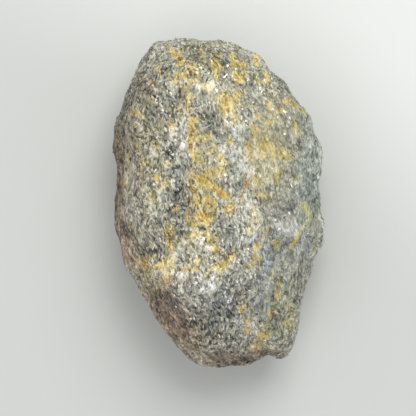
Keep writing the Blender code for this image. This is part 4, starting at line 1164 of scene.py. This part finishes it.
class NodeBench:
    """Builds the nodes of one material."""

    def __init__(self, name: str) -> None:
        """Starts an empty material with one shader.

        Args:
            name: The material's name.
        """
        self.material = bpy.data.materials.new(name)
        self.material.use_nodes = True
        self.tree = self.material.node_tree
        self.tree.nodes.clear()
        self.shader = self.tree.nodes.new("ShaderNodeBsdfPrincipled")
        output = self.tree.nodes.new("ShaderNodeOutputMaterial")
        self.tree.links.new(self.shader.outputs["BSDF"], output.inputs["Surface"])

    def plug(self, socket: bpy.types.NodeSocket, value: Feed) -> None:
        """Links a wire to a socket, or sets a plain value on it.

        Args:
            socket: The input to fill.
            value: A wire, a number, or a tuple of numbers.
        """
        if isinstance(value, Wire):
            self.tree.links.new(value.socket, socket)
        else:
            socket.default_value = value

    def show(self, name: str, value: Feed) -> None:
        """Feeds one of the shader's own inputs."""
        self.plug(self.shader.inputs[name], value)

    def node(self, kind: str, settings: dict[str, object], sockets: dict[str | int, Feed],
             output: str | int) -> Wire:
        """Adds a node of any kind.

        Args:
            kind: The node's type name.
            settings: Its settings, which are set first.
            sockets: Values or wires for its inputs, by name or place.
            output: The name or place of the output that is used.

        Returns:
            The named output.
        """
        node = self.tree.nodes.new(kind)
        for name, value in settings.items():
            setattr(node, name, value)
        for name, value in sockets.items():
            self.plug(node.inputs[name], value)
        return Wire(self, node.outputs[output])

    def here(self) -> Wire:
        """Returns the point on the piece, in metres."""
        return self.node("ShaderNodeTexCoord", {}, {}, "Object")

    def attribute(self, name: str) -> Wire:
        """Returns a number that the mesh carries."""
        return self.node("ShaderNodeAttribute", {"attribute_name": name}, {}, "Fac")

    def vector_math(self, operation: str, first: Feed, second: Feed, output: str = "Vector") -> Wire:
        """Adds one Vector Math node and returns the output that is named."""
        sockets = {0: first, 1: second}
        return self.node("ShaderNodeVectorMath", {"operation": operation}, sockets, output)

    def split(self, colour: Wire) -> tuple[Wire, Wire, Wire]:
        """Returns a colour's three channels."""
        red = self.node("ShaderNodeSeparateColor", {}, {"Color": colour}, "Red")
        return red, red.sibling("Green"), red.sibling("Blue")

    def noise(self, place: Wire, length: float, detail: float = 1.0) -> Wire:
        """Returns smooth noise from 0 to 1 whose lumps are about a given length in millimetres."""
        sockets = {"Vector": place, "Scale": 1.0 / length, "Detail": detail}
        return self.node("ShaderNodeTexNoise", {}, sockets, "Fac")

    def ramp(self, value: Wire, stops: Stops) -> Wire:
        """Turns a value into a colour through named stops.

        Args:
            value: A number from 0 to 1.
            stops: Pairs of place and colour, in rising order.

        Returns:
            The colour.
        """
        colour = self.node("ShaderNodeValToRGB", {}, {"Fac": value}, "Color")
        elements = colour.socket.node.color_ramp.elements
        for place, paint in stops[1:-1]:
            elements.new(place).color = paint.linear()
        for element, (place, paint) in zip(elements, stops):
            element.position = place
            element.color = paint.linear()
        return colour

    def mix(self, share: Feed, first: Wire, second: Feed, blend: str = "MIX") -> Wire:
        """Mixes two colours.

        Args:
            share: How much of the second colour, a number or a wire.
            first: A colour.
            second: A colour.
            blend: The blend type.

        Returns:
            The mixed colour.
        """
        settings = {"data_type": "RGBA", "blend_type": blend, "clamp_factor": True}
        colours = {0: share, 6: first, 7: second}  # the places of a colour mix's inputs
        return self.node("ShaderNodeMix", settings, colours, 2)

    def glaze(self, share: Wire, colour: Wire, tint: Paint) -> Wire:
        """Lays a clear tint over a colour, as strongly as the share says."""
        return self.mix(share, colour, tint.linear(), "MULTIPLY")


@dataclass(frozen=True)
class Drawn:
    """Smooth noise that may be drawn out along the blades: below 1, squeeze draws it longer."""

    length: float
    squeeze: float = 1.0
    detail: float = 1.0


@dataclass(frozen=True)
class Fabric:
    """The sizes of the rock's grains, and of the patches and streaks that they gather in."""

    blade: Size = (0.33, 0.62, 0.30)
    fine_grain: Size = (0.17, 0.32, 0.17)
    sway: float = 3.0
    sway_length: float = 9.0
    broad: Drawn = Drawn(5.0, detail=2.0)
    brushed: Drawn = Drawn(0.55, squeeze=0.11)
    wisps: Drawn = Drawn(0.7, squeeze=0.5, detail=3.0)
    white_span: Span = (0.72, 1.0)


class RockWires:
    """What a schist finish reads at a point: its grains, its noises and its zones."""

    def __init__(self, bench: NodeBench, grain: Grain, fabric: Fabric) -> None:
        """Adds the nodes that the parts of a finish share.

        Args:
            bench: The material's bench.
            grain: Where the tone and shine of the blades come from.
            fabric: The sizes of the grains and patches.
        """
        self.bench = bench
        self.fabric = fabric
        self.place = self.rock_place()
        blade, self.blade_height = self.cells(fabric.blade)
        fine, self.fine_height = self.cells(fabric.fine_grain)
        self.blade_tone, self.blade_shine, self.blade_film = bench.split(blade)
        self.fine_tone, self.fine_shine, self.fine_film = bench.split(fine)
        if grain is Grain.BLADES:
            self.blade_tone = bench.attribute("tone")
            self.blade_shine = bench.attribute("shine")
        self.zones = {zone: bench.attribute(zone.value) for zone in Zone}
        self.white = self.zones[Zone.PALE].step(*fabric.white_span)
        self.broad = self.noise(fabric.broad)
        self.brushed = self.noise(fabric.brushed)
        self.wisps = self.noise(fabric.wisps)

    def rock_place(self) -> Wire:
        """Takes the point to the rock's own axes, with the sway of its layers.

        Returns:
            The point in millimetres.
        """
        bench = self.bench
        per_metre = 1.0 / MM
        scale = {"Vector": bench.here(), "Scale": (per_metre, per_metre, per_metre)}
        here = bench.node("ShaderNodeMapping", {"vector_type": "POINT"}, scale, "Vector")
        sway = bench.noise(here, self.fabric.sway_length).sibling("Color")
        sway = bench.vector_math("SUBTRACT", sway, (0.5, 0.5, 0.5))
        reach = self.fabric.sway
        sway = bench.vector_math("MULTIPLY", sway, (reach, reach, reach))
        here = bench.vector_math("ADD", here, sway)
        turn = SchistSpace().turn().to_euler()
        sockets = {"Vector": here, "Rotation": (turn.x, turn.y, turn.z)}
        return bench.node("ShaderNodeMapping", {"vector_type": "POINT"}, sockets, "Vector")

    def cells(self, size: Size) -> tuple[Wire, Wire]:
        """Divides the rock into stretched cells.

        Args:
            size: A cell's size along each of the rock's axes, in millimetres.

        Returns:
            Each cell's random colour, and the height of its randomly tilted face.
        """
        shrink = tuple(1.0 / side for side in size)
        scaled = self.bench.vector_math("MULTIPLY", self.place, shrink)
        cell = self.bench.node("ShaderNodeTexVoronoi", {}, {"Vector": scaled, "Scale": 1.0}, "Color")
        offset = self.bench.vector_math("SUBTRACT", scaled, cell.sibling("Position"))
        slope = self.bench.vector_math("SUBTRACT", cell, (0.5, 0.5, 0.5))
        height = self.bench.vector_math("DOT_PRODUCT", offset, slope, "Value")
        return cell, height

    def noise(self, drawn: Drawn) -> Wire:
        """Returns noise from 0 to 1 on the rock's own axes."""
        squeezed = self.bench.vector_math("MULTIPLY", self.place, (1.0, drawn.squeeze, 1.0))
        return self.bench.noise(squeezed, drawn.length, drawn.detail)


@dataclass(frozen=True)
class GrainTone:
    """How light each grain is, and how much each cause adds, from 0 for dark to 1 for light. The glints
    add painted highlights, the pale zone adds painted light and the dark zone adds painted shade.
    """

    middle: float = 0.52
    blades: float = 0.58
    fine_grains: float = 0.26
    clusters: float = 0.70
    broad: float = 0.52
    streaks: float = 0.52
    fibres: float = 0.42
    brushing: float = 0.50
    painted_glint: float = 0.30
    pale: float = 0.30
    white: float = 0.31
    dark: float = -0.32
    deep: float = -0.13
    even_stills_grains: float = 0.64
    even_stills_clusters: float = 0.60
    pale_stirs_grains: float = 0.35
    dark_adds_painted_glint: float = 0.60
    painted_glint_span: Span = (0.88, 0.94)
    deep_span: Span = (0.70, 1.0)
    cluster_noise: Drawn = Drawn(1.1, detail=2.0)
    streak_noise: Drawn = Drawn(1.6, squeeze=0.36)
    fibre_noise: Drawn = Drawn(0.42, squeeze=0.22)

    def wire(self, rock: RockWires) -> Wire:
        """Works out the tone of the grains.

        Args:
            rock: What the finish reads at a point.

        Returns:
            The tone.
        """
        even = rock.zones[Zone.EVEN]
        pale = rock.zones[Zone.PALE]
        dark = rock.zones[Zone.DARK]
        lively = 1.0 - self.even_stills_grains * even + self.pale_stirs_grains * pale
        grains = self.blades * rock.blade_tone.centred() + self.fine_grains * rock.fine_tone.centred()
        clusters = self.clusters * rock.noise(self.cluster_noise).centred()
        clusters = clusters * (1.0 - self.even_stills_clusters * even)
        # Painted highlights: the shiniest blades are made lighter in colour, also in the dark zone.
        painted_glint = rock.blade_shine.step(*self.painted_glint_span) * (lively + self.dark_adds_painted_glint * dark)
        tone = self.middle + lively * grains + clusters + self.broad * rock.broad.centred()
        tone = tone + self.streaks * rock.noise(self.streak_noise).centred()
        tone = tone + self.fibres * rock.noise(self.fibre_noise).centred()
        tone = tone + self.brushing * even * rock.brushed.centred()
        tone = tone + self.painted_glint * painted_glint
        # The pale zone lifts the tone: white grains, with painted light and painted glints.
        tone = tone + self.pale * pale + self.white * rock.white
        # The dark zone lowers the tone: dark mica and painted shade, lowered most where it is strongest.
        return tone + self.dark * dark + self.deep * dark.step(*self.deep_span)


@dataclass(frozen=True)
class OchreFilm:
    """How thickly the iron stain covers each grain, from 0 for clean to 1."""

    wisps: float = 1.00
    blades: float = 0.80
    fine_grains: float = 0.36
    broad: float = 0.50
    brushing: float = 0.45
    even_stills_grains: float = 0.38
    even_thins_film: float = 0.20
    even_adds_haze: float = 0.32
    film_span: Span = (0.18, 0.84)

    def wire(self, rock: RockWires) -> Wire:
        """Works out the cover of the film.

        Args:
            rock: What the finish reads at a point.

        Returns:
            The cover.
        """
        even = rock.zones[Zone.EVEN]
        ochre = rock.zones[Zone.OCHRE]
        broken = self.wisps * rock.wisps.centred() + self.blades * rock.blade_film.centred()
        broken = broken + self.fine_grains * rock.fine_film.centred()
        film = ochre + broken * (1.0 - self.even_stills_grains * even) + self.broad * rock.broad.centred()
        film = film + self.brushing * even * rock.brushed.centred()
        film = film.step(*self.film_span) * (1.0 - self.even_thins_film * even)
        return film + self.even_adds_haze * even * ochre


@dataclass(frozen=True)
class RockColour:
    """The colours of clean, stained and rusted grains, and the tints that lie over them, some of which
    are painted shade, painted light and painted reflections.
    """

    clean: Stops = (
        (0.00, Paint(43, 44, 47)),
        (0.20, Paint(89, 91, 90)),
        (0.42, Paint(142, 142, 133)),
        (0.62, Paint(185, 183, 168)),
        (0.82, Paint(224, 221, 206)),
        (1.00, Paint(255, 253, 248)),
    )
    stained: Stops = (
        (0.00, Paint(90, 80, 44)),
        (0.25, Paint(156, 138, 70)),
        (0.50, Paint(210, 187, 100)),
        (0.75, Paint(236, 213, 132)),
        (1.00, Paint(250, 240, 196)),
    )
    rusted: Stops = (
        (0.00, Paint(92, 66, 38)),
        (0.30, Paint(160, 116, 54)),
        (0.60, Paint(220, 170, 84)),
        (1.00, Paint(246, 220, 156)),
    )
    # The brown tint is painted shade with a warm painted reflection; the green tint is painted cool
    # light; the blue tint is bluish mica and a painted cool reflection.
    brown_tint: Paint = Paint(234, 204, 186)
    blue_tint: Paint = Paint(229, 239, 255)
    green_tint: Paint = Paint(236, 244, 234)
    wash_tint: Paint = Paint(242, 236, 200)
    film_strength: float = 0.97
    rust_wisps: float = 0.80
    rust_blades: float = 0.40
    rust_span: Span = (0.25, 0.65)
    rust_in_film: float = 0.12
    thick_film_span: Span = (0.75, 1.0)
    wash_span: Span = (0.20, 0.65)
    white_clears_wash: float = 0.70
    cool_grains: float = 0.50
    cool_span: Span = (0.46, 0.74)
    pale_clears_cool: float = 0.40

    def rust(self, rock: RockWires, film: Wire) -> Wire:
        """Works out how far the stain has turned to deep rust.

        Args:
            rock: What the finish reads at a point.
            film: The cover of the ochre film.

        Returns:
            The share of rust.
        """
        rust = rock.zones[Zone.RUST] + self.rust_wisps * rock.wisps.centred()
        rust = rust + self.rust_blades * rock.blade_film.centred()
        return rust.step(*self.rust_span) + self.rust_in_film * film.step(*self.thick_film_span)

    def wash(self, rock: RockWires) -> Wire:
        """Returns how strong the thin yellowish cast is."""
        wash = rock.zones[Zone.WASH] * rock.wisps.step(*self.wash_span)
        return wash * (1.0 - self.white_clears_wash * rock.white)

    def cool(self, rock: RockWires) -> Wire:
        """Works out where clean grains look bluish.

        Args:
            rock: What the finish reads at a point.

        Returns:
            The share of blue.
        """
        patches, _, _ = rock.bench.split(rock.broad.sibling("Color"))
        cool = patches + self.cool_grains * rock.fine_film.centred()
        cool = cool + self.cool_grains * rock.blade_film.centred()
        return cool.step(*self.cool_span) * (1.0 - self.pale_clears_cool * rock.zones[Zone.PALE])

    def wire(self, rock: RockWires, tone: Wire, film: Wire) -> Wire:
        """Works out the colour of the grains.

        Args:
            rock: What the finish reads at a point.
            tone: How light each grain is.
            film: The cover of the ochre film.

        Returns:
            The colour.
        """
        bench = rock.bench
        clean = bench.glaze(self.cool(rock), bench.ramp(tone, self.clean), self.blue_tint)
        clean = bench.glaze(self.wash(rock), clean, self.wash_tint)
        rusted = bench.ramp(tone, self.rusted)
        stained = bench.mix(self.rust(rock, film), bench.ramp(tone, self.stained), rusted)
        colour = bench.mix(self.film_strength * film, clean, stained)
        # Painted shade and warm reflection on the rims, bluish mica with a painted cool reflection, and
        # painted cool light on the right rim.
        colour = bench.glaze(rock.zones[Zone.BROWN], colour, self.brown_tint)
        colour = bench.glaze(rock.zones[Zone.BLUE], colour, self.blue_tint)
        return bench.glaze(rock.zones[Zone.GREEN], colour, self.green_tint)


@dataclass(frozen=True)
class GrainGloss:
    """How rough and how metallic the grains look."""

    rough: float = 0.66
    blades: float = -0.34
    fine_grains: float = -0.14
    film: float = 0.16
    metal: float = 0.55
    pale_adds_shine: float = 0.14
    blade_span: Span = (0.74, 0.86)
    fine_span: Span = (0.80, 0.90)

    def apply(self, rock: RockWires, film: Wire) -> None:
        """Feeds the shader's roughness and metallic look.

        Args:
            rock: What the finish reads at a point.
            film: The cover of the ochre film, which dulls the grains.
        """
        glint = (rock.blade_shine + self.pale_adds_shine * rock.zones[Zone.PALE]).step(*self.blade_span)
        fine_glint = rock.fine_shine.step(*self.fine_span)
        rough = self.rough + self.blades * glint + self.fine_grains * fine_glint + self.film * film
        rock.bench.show("Roughness", rough)
        rock.bench.show("Metallic", self.metal * glint * (1.0 - film))


@dataclass(frozen=True)
class GrainRelief:
    """How far the tilted faces of the grains stand out."""

    blade_share: float = 0.42  # of a blade's width
    fine_share: float = 0.28  # of a fine grain's width
    loose_height: float = 0.10  # on the loose blades

    def apply(self, rock: RockWires, grain: Grain) -> None:
        """Feeds the shader's normal.

        Args:
            rock: What the finish reads at a point.
            grain: Whether the surface is the rock or one of its loose blades.
        """
        blade = self.blade_share * rock.fabric.blade[0]
        fine = self.fine_share * rock.fabric.fine_grain[0]
        if grain is Grain.BLADES:
            blade = self.loose_height
        height = blade * rock.blade_height + fine * rock.fine_height
        sockets = {"Height": height, "Distance": MM, "Strength": 1.0}
        rock.bench.show("Normal", rock.bench.node("ShaderNodeBump", {}, sockets, "Normal"))


@dataclass(frozen=True)
class SchistFinish:
    """The stone's finish: blades of mica and pale grains, with ochre film, and with painted shade,
    painted light, painted reflections and painted highlights on its faces and rims.
    """

    name: str
    grain: Grain
    fabric: Fabric = Fabric()
    tone: GrainTone = GrainTone()
    film: OchreFilm = OchreFilm()
    colour: RockColour = RockColour()
    gloss: GrainGloss = GrainGloss()
    relief: GrainRelief = GrainRelief()

    def make(self) -> bpy.types.Material:
        """Builds the material.

        Returns:
            The finished material.
        """
        bench = NodeBench(self.name)
        rock = RockWires(bench, self.grain, self.fabric)
        tone = self.tone.wire(rock)
        film = self.film.wire(rock)
        bench.show("Base Color", self.colour.wire(rock, tone, film))
        self.gloss.apply(rock, film)
        self.relief.apply(rock, self.grain)
        return bench.material


def stretched(rock: Vector, size: Size) -> Vector:
    """Divides a point by a size along each axis."""
    return Vector((rock.x / size[0], rock.y / size[1], rock.z / size[2]))


@dataclass(frozen=True)
class StoneBody:
    """The whole lump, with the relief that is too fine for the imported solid."""

    name: str = "schist_stone"
    weld_distance: float = 0.01
    face_size: float = 0.29
    easing_rounds: int = 4
    easing: float = 0.5
    facet_sizes: tuple[Size, ...] = ((2.9, 5.2, 1.7), (1.35, 2.5, 0.9))
    facet_relief: tuple[float, ...] = (0.075, 0.11)
    facet_slope: float = 2.0
    facet_lift: float = 0.4
    facet_shuffle: float = 1.37  # moves a face's centre to where its own slope is drawn
    fold_sizes: tuple[Size, ...] = ((1.9, 5.4, 1.7), (0.95, 2.5, 0.9))
    fold_relief: tuple[float, ...] = (0.30, 0.16)
    grit_length: float = 0.7
    grit_relief: float = 0.09
    pit_cell: Size = (0.9, 1.6, 0.8)
    pit_radius: float = 0.55
    pit_share: float = 0.10
    pit_shuffle: float = 2.11  # moves a pit's centre to where its own chance is drawn
    pit_depth: float = 0.30
    dark_pit_extra: float = 0.8
    rim_wear: float = 0.45
    space: SchistSpace = SchistSpace()
    zones: ZoneMap = ZoneMap()

    def even_copy(self, node: bpy.types.Object) -> bpy.types.Object:
        """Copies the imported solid, joins its loose triangles and gives it even small faces.

        Args:
            node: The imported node, which is left alone.

        Returns:
            The new piece.
        """
        shape = bmesh.new()
        shape.from_mesh(node.data)
        bmesh.ops.remove_doubles(shape, verts=shape.verts, dist=self.weld_distance * MM)
        welded = mesh_from(shape, self.name)
        piece = piece_from(welded)
        remesh = piece.modifiers.new("even faces", "REMESH")
        remesh.mode = "VOXEL"
        remesh.voxel_size = self.face_size * MM
        remesh.use_smooth_shade = True
        remeshed = piece.evaluated_get(bpy.context.evaluated_depsgraph_get())
        even = bpy.data.meshes.new_from_object(remeshed)
        piece.modifiers.clear()
        piece.data = even
        bpy.data.meshes.remove(welded)
        even.name = self.name
        return piece

    def facet_height(self, rock: Vector, size: Size) -> float:
        """Works out the height of one of the tilted faces that the rock breaks into.

        Args:
            rock: A point on the rock's axes, in millimetres.
            size: A face's size along each axis.

        Returns:
            A height of about -1 to 1.
        """
        scaled = stretched(rock, size)
        _, centres = noise.voronoi(scaled)
        centre = centres[0]
        slope = noise.cell_vector(centre * self.facet_shuffle) * 2.0 - Vector((1.0, 1.0, 1.0))
        return (scaled - centre).dot(slope) * self.facet_slope + slope.x * self.facet_lift

    def pit_height(self, rock: Vector) -> float:
        """Works out how deep a point lies in one of the small scattered pits.

        Args:
            rock: A point on the rock's axes, in millimetres.

        Returns:
            A height from -1 in a pit's middle to 0 outside it.
        """
        distances, centres = noise.voronoi(stretched(rock, self.pit_cell))
        if noise.cell(centres[0] * self.pit_shuffle) > self.pit_share:
            return 0.0
        return -max(0.0, 1.0 - distances[0] / self.pit_radius)

    def placed_depth(self, points: np.ndarray) -> np.ndarray:
        """Works out the depth of the holes and knobs that have a place of their own.

        Args:
            points: One row of x, y and z per point, in millimetres.

        Returns:
            One depth per point, negative for a knob.
        """
        depth = np.zeros(len(points))
        seen = self.zones.as_seen(points)
        for pit in FRONT_RELIEF:
            depth += pit.cover(seen)
        return depth * self.zones.front_share(points)

    def relief(self, point: Vector, normal: Vector, shade: float) -> float:
        """Works out how far the rock's own texture lifts a point.

        Args:
            point: A point of the stone, in millimetres.
            normal: The surface normal there.
            shade: How strongly the dark zone, of dark mica and painted shade, covers it, from 0 to 1.
                Pits are deeper there.

        Returns:
            The lift in millimetres.
        """
        rock = self.space.place(point)
        rise = 0.0
        for size, relief in zip(self.facet_sizes, self.facet_relief):
            rise += relief * self.facet_height(rock, size)
        for size, relief in zip(self.fold_sizes, self.fold_relief):
            rise += relief * noise.noise(stretched(rock, size))
        rise += self.grit_relief * noise.noise(rock / self.grit_length)
        rise += self.pit_depth * (1.0 + self.dark_pit_extra * shade) * self.pit_height(rock)
        return rise * (1.0 - self.rim_wear * (1.0 - abs(normal.z)))

    def roughen(self, mesh: bpy.types.Mesh) -> None:
        """Eases the solid's flat triangles away and cuts the fine relief into the surface.

        Args:
            mesh: The stone's mesh.
        """
        shape = bmesh.new()
        shape.from_mesh(mesh)
        for _ in range(self.easing_rounds):
            bmesh.ops.smooth_vert(shape, verts=shape.verts, factor=self.easing, use_axis_x=True,
                                  use_axis_y=True, use_axis_z=True)
        shape.normal_update()
        shape.to_mesh(mesh)
        points = vertex_points(mesh)
        depths = self.placed_depth(points)
        shades = self.zones.cover(Zone.DARK, points)
        for vert, depth, shade in zip(shape.verts, depths, shades):
            rise = self.relief(vert.co / MM, vert.normal, shade)
            vert.co += vert.normal * (rise - depth) * MM
            vert.co.z = max(vert.co.z, 0.0)
        bmesh.ops.recalc_face_normals(shape, faces=shape.faces)
        for face in shape.faces:
            face.smooth = True
        shape.to_mesh(mesh)
        shape.free()

    def build(self, node: bpy.types.Object) -> bpy.types.Object:
        """Builds and dresses the stone.

        Args:
            node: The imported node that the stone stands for.

        Returns:
            The finished piece.
        """
        piece = self.even_copy(node)
        self.roughen(piece.data)
        self.zones.write(piece.data)
        piece.data.materials.clear()
        piece.data.materials.append(SchistFinish("schist_with_ochre_film", Grain.CELLS).make())
        return piece


def random_turn(spread: float, axis: Vector, draw: random.Random) -> Matrix:
    """Returns a turn about an axis, by an angle drawn around 0 with a spread in degrees."""
    return Matrix.Rotation(math.radians(draw.gauss(0.0, spread)), 3, axis)


@dataclass(frozen=True)
class LooseBlades:
    """Small flat mineral blades that stand a little proud of the stone and catch the light."""

    name: str
    count: int
    seed: int
    length: Span
    slimness: Span  # width as a share of length
    tilt_spread: float  # degrees
    tone_range: Span
    sides: int
    turn_spread: float = 26.0  # degrees
    thickness: float = 0.10
    foot_radius: float = 0.5  # of a blade one unit long and wide
    top_radius: float = 0.42
    proud: Span = (-0.045, 0.015)  # how high a blade's middle is above the surface
    least_lie: float = 0.2
    clearance: float = 0.4  # blades nearer to the floor are left out
    batch_size: int = 150
    zones: ZoneMap = ZoneMap()
    space: SchistSpace = SchistSpace()

    def places(self, mesh: bpy.types.Mesh, draw: random.Random) -> list[tuple[Vector, Vector]]:
        """Picks points spread evenly over a mesh by area.

        Args:
            mesh: The stone's mesh.
            draw: The source of random numbers.

        Returns:
            A place and a normal for each blade.
        """
        areas = np.empty(len(mesh.polygons))
        mesh.polygons.foreach_get("area", areas)
        steps = np.cumsum(areas)
        wanted = sorted(draw.random() * steps[-1] for _ in range(self.count))
        picked = []
        for index in np.searchsorted(steps, wanted):
            polygon = mesh.polygons[min(int(index), len(mesh.polygons) - 1)]
            picked.append((polygon.center.copy(), polygon.normal.copy()))
        return picked

    def stance(self, place: Vector, normal: Vector, draw: random.Random) -> Matrix:
        """Lays one blade along the rock's lineation, tilted a little out of the surface.

        Args:
            place: Where the blade is.
            normal: The surface normal there.
            draw: The source of random numbers.

        Returns:
            The blade's placing, from a unit shape.
        """
        along = self.space.blade_direction()
        along = along - normal * along.dot(normal)
        if along.length < self.least_lie:
            # The lineation points almost straight out here, so any way along the surface will do.
            along = normal.orthogonal()
        along.normalize()
        along = random_turn(self.turn_spread, normal, draw) @ along
        side = normal.cross(along)
        tilt = random_turn(self.tilt_spread, along, draw)
        pitch = random_turn(self.tilt_spread, side, draw)
        length = draw.uniform(*self.length) * MM
        width = length * draw.uniform(*self.slimness)
        depth = self.thickness * MM
        frame = Matrix((side * width, along * length, normal * depth)).transposed()
        lift = draw.uniform(*self.proud) * MM
        return Matrix.Translation(place + normal * lift) @ (tilt @ pitch @ frame).to_4x4()

    def batch(self, places: list[tuple[Vector, Vector]], draw: random.Random) -> bpy.types.Mesh:
        """Builds a few of the blades as one mesh. Small batches are quicker than one large one.

        Args:
            places: A place and a normal for each blade.
            draw: The source of random numbers.

        Returns:
            The blades, each with its own tone and shine.
        """
        shape = bmesh.new()
        tone_layer = shape.verts.layers.float.new("tone")
        shine_layer = shape.verts.layers.float.new("shine")
        for place, normal in places:
            # A blade that is left out has made its draws too, so the others stay as they are.
            stance = self.stance(place, normal, draw)
            tone = draw.uniform(*self.tone_range)
            shine = draw.random()
            if place.z < self.clearance * MM:
                continue
            made = bmesh.ops.create_cone(shape, cap_ends=True, segments=self.sides, depth=1.0,
                                         radius1=self.foot_radius, radius2=self.top_radius, matrix=stance)
            for vert in made["verts"]:
                vert[tone_layer] = tone
                vert[shine_layer] = shine
        return mesh_from(shape, "blade_batch")

    def build(self, stone: bpy.types.Object) -> bpy.types.Object:
        """Builds every blade as one piece.

        Args:
            stone: The stone that the blades lie on.

        Returns:
            The finished piece.
        """
        draw = random.Random(self.seed)
        places = self.places(stone.data, draw)
        shape = bmesh.new()
        for start in range(0, len(places), self.batch_size):
            batch = self.batch(places[start:start + self.batch_size], draw)
            shape.from_mesh(batch)
            bpy.data.meshes.remove(batch)
        piece = piece_from(mesh_from(shape, self.name))
        self.zones.write(piece.data)
        piece.data.materials.append(SchistFinish("loose_" + self.name, Grain.BLADES).make())
        return piece


MICA_BLADES = LooseBlades(
    name="mica_blades",
    count=11000,
    seed=11,
    length=(0.40, 0.95),
    slimness=(0.30, 0.55),
    tilt_spread=8.0,
    tone_range=(0.0, 1.0),
    sides=5,
)
PALE_NEEDLES = LooseBlades(
    name="pale_needles",
    count=900,
    seed=23,
    length=(0.9, 1.9),
    slimness=(0.14, 0.24),
    tilt_spread=6.0,
    tone_range=(0.75, 1.0),
    sides=6,
)


@dataclass(frozen=True)
class Lamp:
    """A soft square lamp that faces the stone: its power in watts, its side and place in metres."""

    name: str
    power: float
    side: float
    place: tuple[float, float, float]

    def hang(self) -> None:
        """Puts the lamp into the scene."""
        light = bpy.data.lights.new(self.name, "AREA")
        light.shape = "SQUARE"
        light.size = self.side
        light.energy = self.power
        hung = bpy.data.objects.new(self.name, light)
        hung.location = Vector(self.place)
        hung.rotation_euler = hung.location.to_track_quat("Z", "Y").to_euler()
        bpy.context.scene.collection.objects.link(hung)


@dataclass(frozen=True)
class Studio:
    """The pale floor, the soft light and the camera that looks straight down."""

    view_width: float = 74.9  # what the picture spans at the waist
    sensor: float = 36.0
    floor_side: float = 3.0  # metres
    # Painted light on the floor: its colour goes from the near paint at the lower left to the far paint
    # at the top right.
    floor_near: Paint = Paint(206, 208, 205)
    floor_far: Paint = Paint(230, 232, 229)
    fade_direction: tuple[float, float, float] = (0.5, 0.86, 0.0)
    fade_length: float = 0.11  # metres
    fade_span: Span = (0.0, 0.4)
    floor_rough: float = 0.9
    world_strength: float = 0.60
    key: Lamp = Lamp("soft_key", 3.6, 0.50, (0.16, 0.44, 0.62))
    fill: Lamp = Lamp("soft_fill", 0.9, 0.60, (-0.36, -0.44, 0.46))

    def floor(self) -> bpy.types.Object:
        """Builds the floor, whose colour holds painted light: a little lighter towards the top right of
        the view, where the key lamp hangs.

        Returns:
            The floor, which isn't part of the stone.
        """
        shape = bmesh.new()
        bmesh.ops.create_grid(shape, x_segments=1, y_segments=1, size=0.5 * self.floor_side)
        piece = piece_from(mesh_from(shape, "pale_floor"))
        bench = NodeBench("pale_floor_paint")
        fade = tuple(share / self.fade_length for share in self.fade_direction)
        away = bench.vector_math("DOT_PRODUCT", bench.here(), fade, "Value")
        stops = ((0.0, self.floor_near), (1.0, self.floor_far))
        bench.show("Base Color", bench.ramp(away.step(*self.fade_span), stops))
        bench.show("Roughness", self.floor_rough)
        piece.data.materials.append(bench.material)
        return piece

    def sky(self) -> None:
        """Sets an even white sky."""
        world = bpy.data.worlds.new("soft_room")
        world.use_nodes = True
        background = world.node_tree.nodes["Background"]
        background.inputs["Color"].default_value = (1.0, 1.0, 1.0, 1.0)
        background.inputs["Strength"].default_value = self.world_strength
        bpy.context.scene.world = world

    def camera(self) -> None:
        """Sets the camera above the stone, level with the floor."""
        lens = bpy.data.cameras.new("from_above")
        lens.lens = EYE_HEIGHT * self.sensor / self.view_width
        lens.sensor_width = self.sensor
        eye = bpy.data.objects.new("from_above", lens)
        eye.location = Vector((*VIEW_CENTRE, EYE_HEIGHT + WAIST_HEIGHT)) * MM
        bpy.context.scene.collection.objects.link(eye)
        bpy.context.scene.camera = eye

    def set_up(self) -> bpy.types.Object:
        """Sets sky, lamps, camera, plain colour handling and floor.

        Returns:
            The floor.
        """
        self.sky()
        self.key.hang()
        self.fill.hang()
        self.camera()
        bpy.context.scene.view_settings.view_transform = "Standard"
        return self.floor()


def report(piece: bpy.types.Object) -> None:
    """Logs a finished piece."""
    log.info("%s: %d faces", piece.name, len(piece.data.polygons))


def main() -> None:
    """Builds the stone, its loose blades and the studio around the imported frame."""
    logging.basicConfig(level=logging.INFO, format="%(relativeCreated)d %(name)s: %(message)s")
    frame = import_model()
    noise.seed_set(NOISE_SEED)

    stone = StoneBody().build(frame["nodes"][STONE_NODE])
    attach(stone, "root")
    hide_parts(STONE_NODE)
    report(stone)

    for family in (MICA_BLADES, PALE_NEEDLES):
        blades = family.build(stone)
        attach(blades, "root")
        report(blades)

    Studio().set_up()


if __name__ == "__main__":
    main()
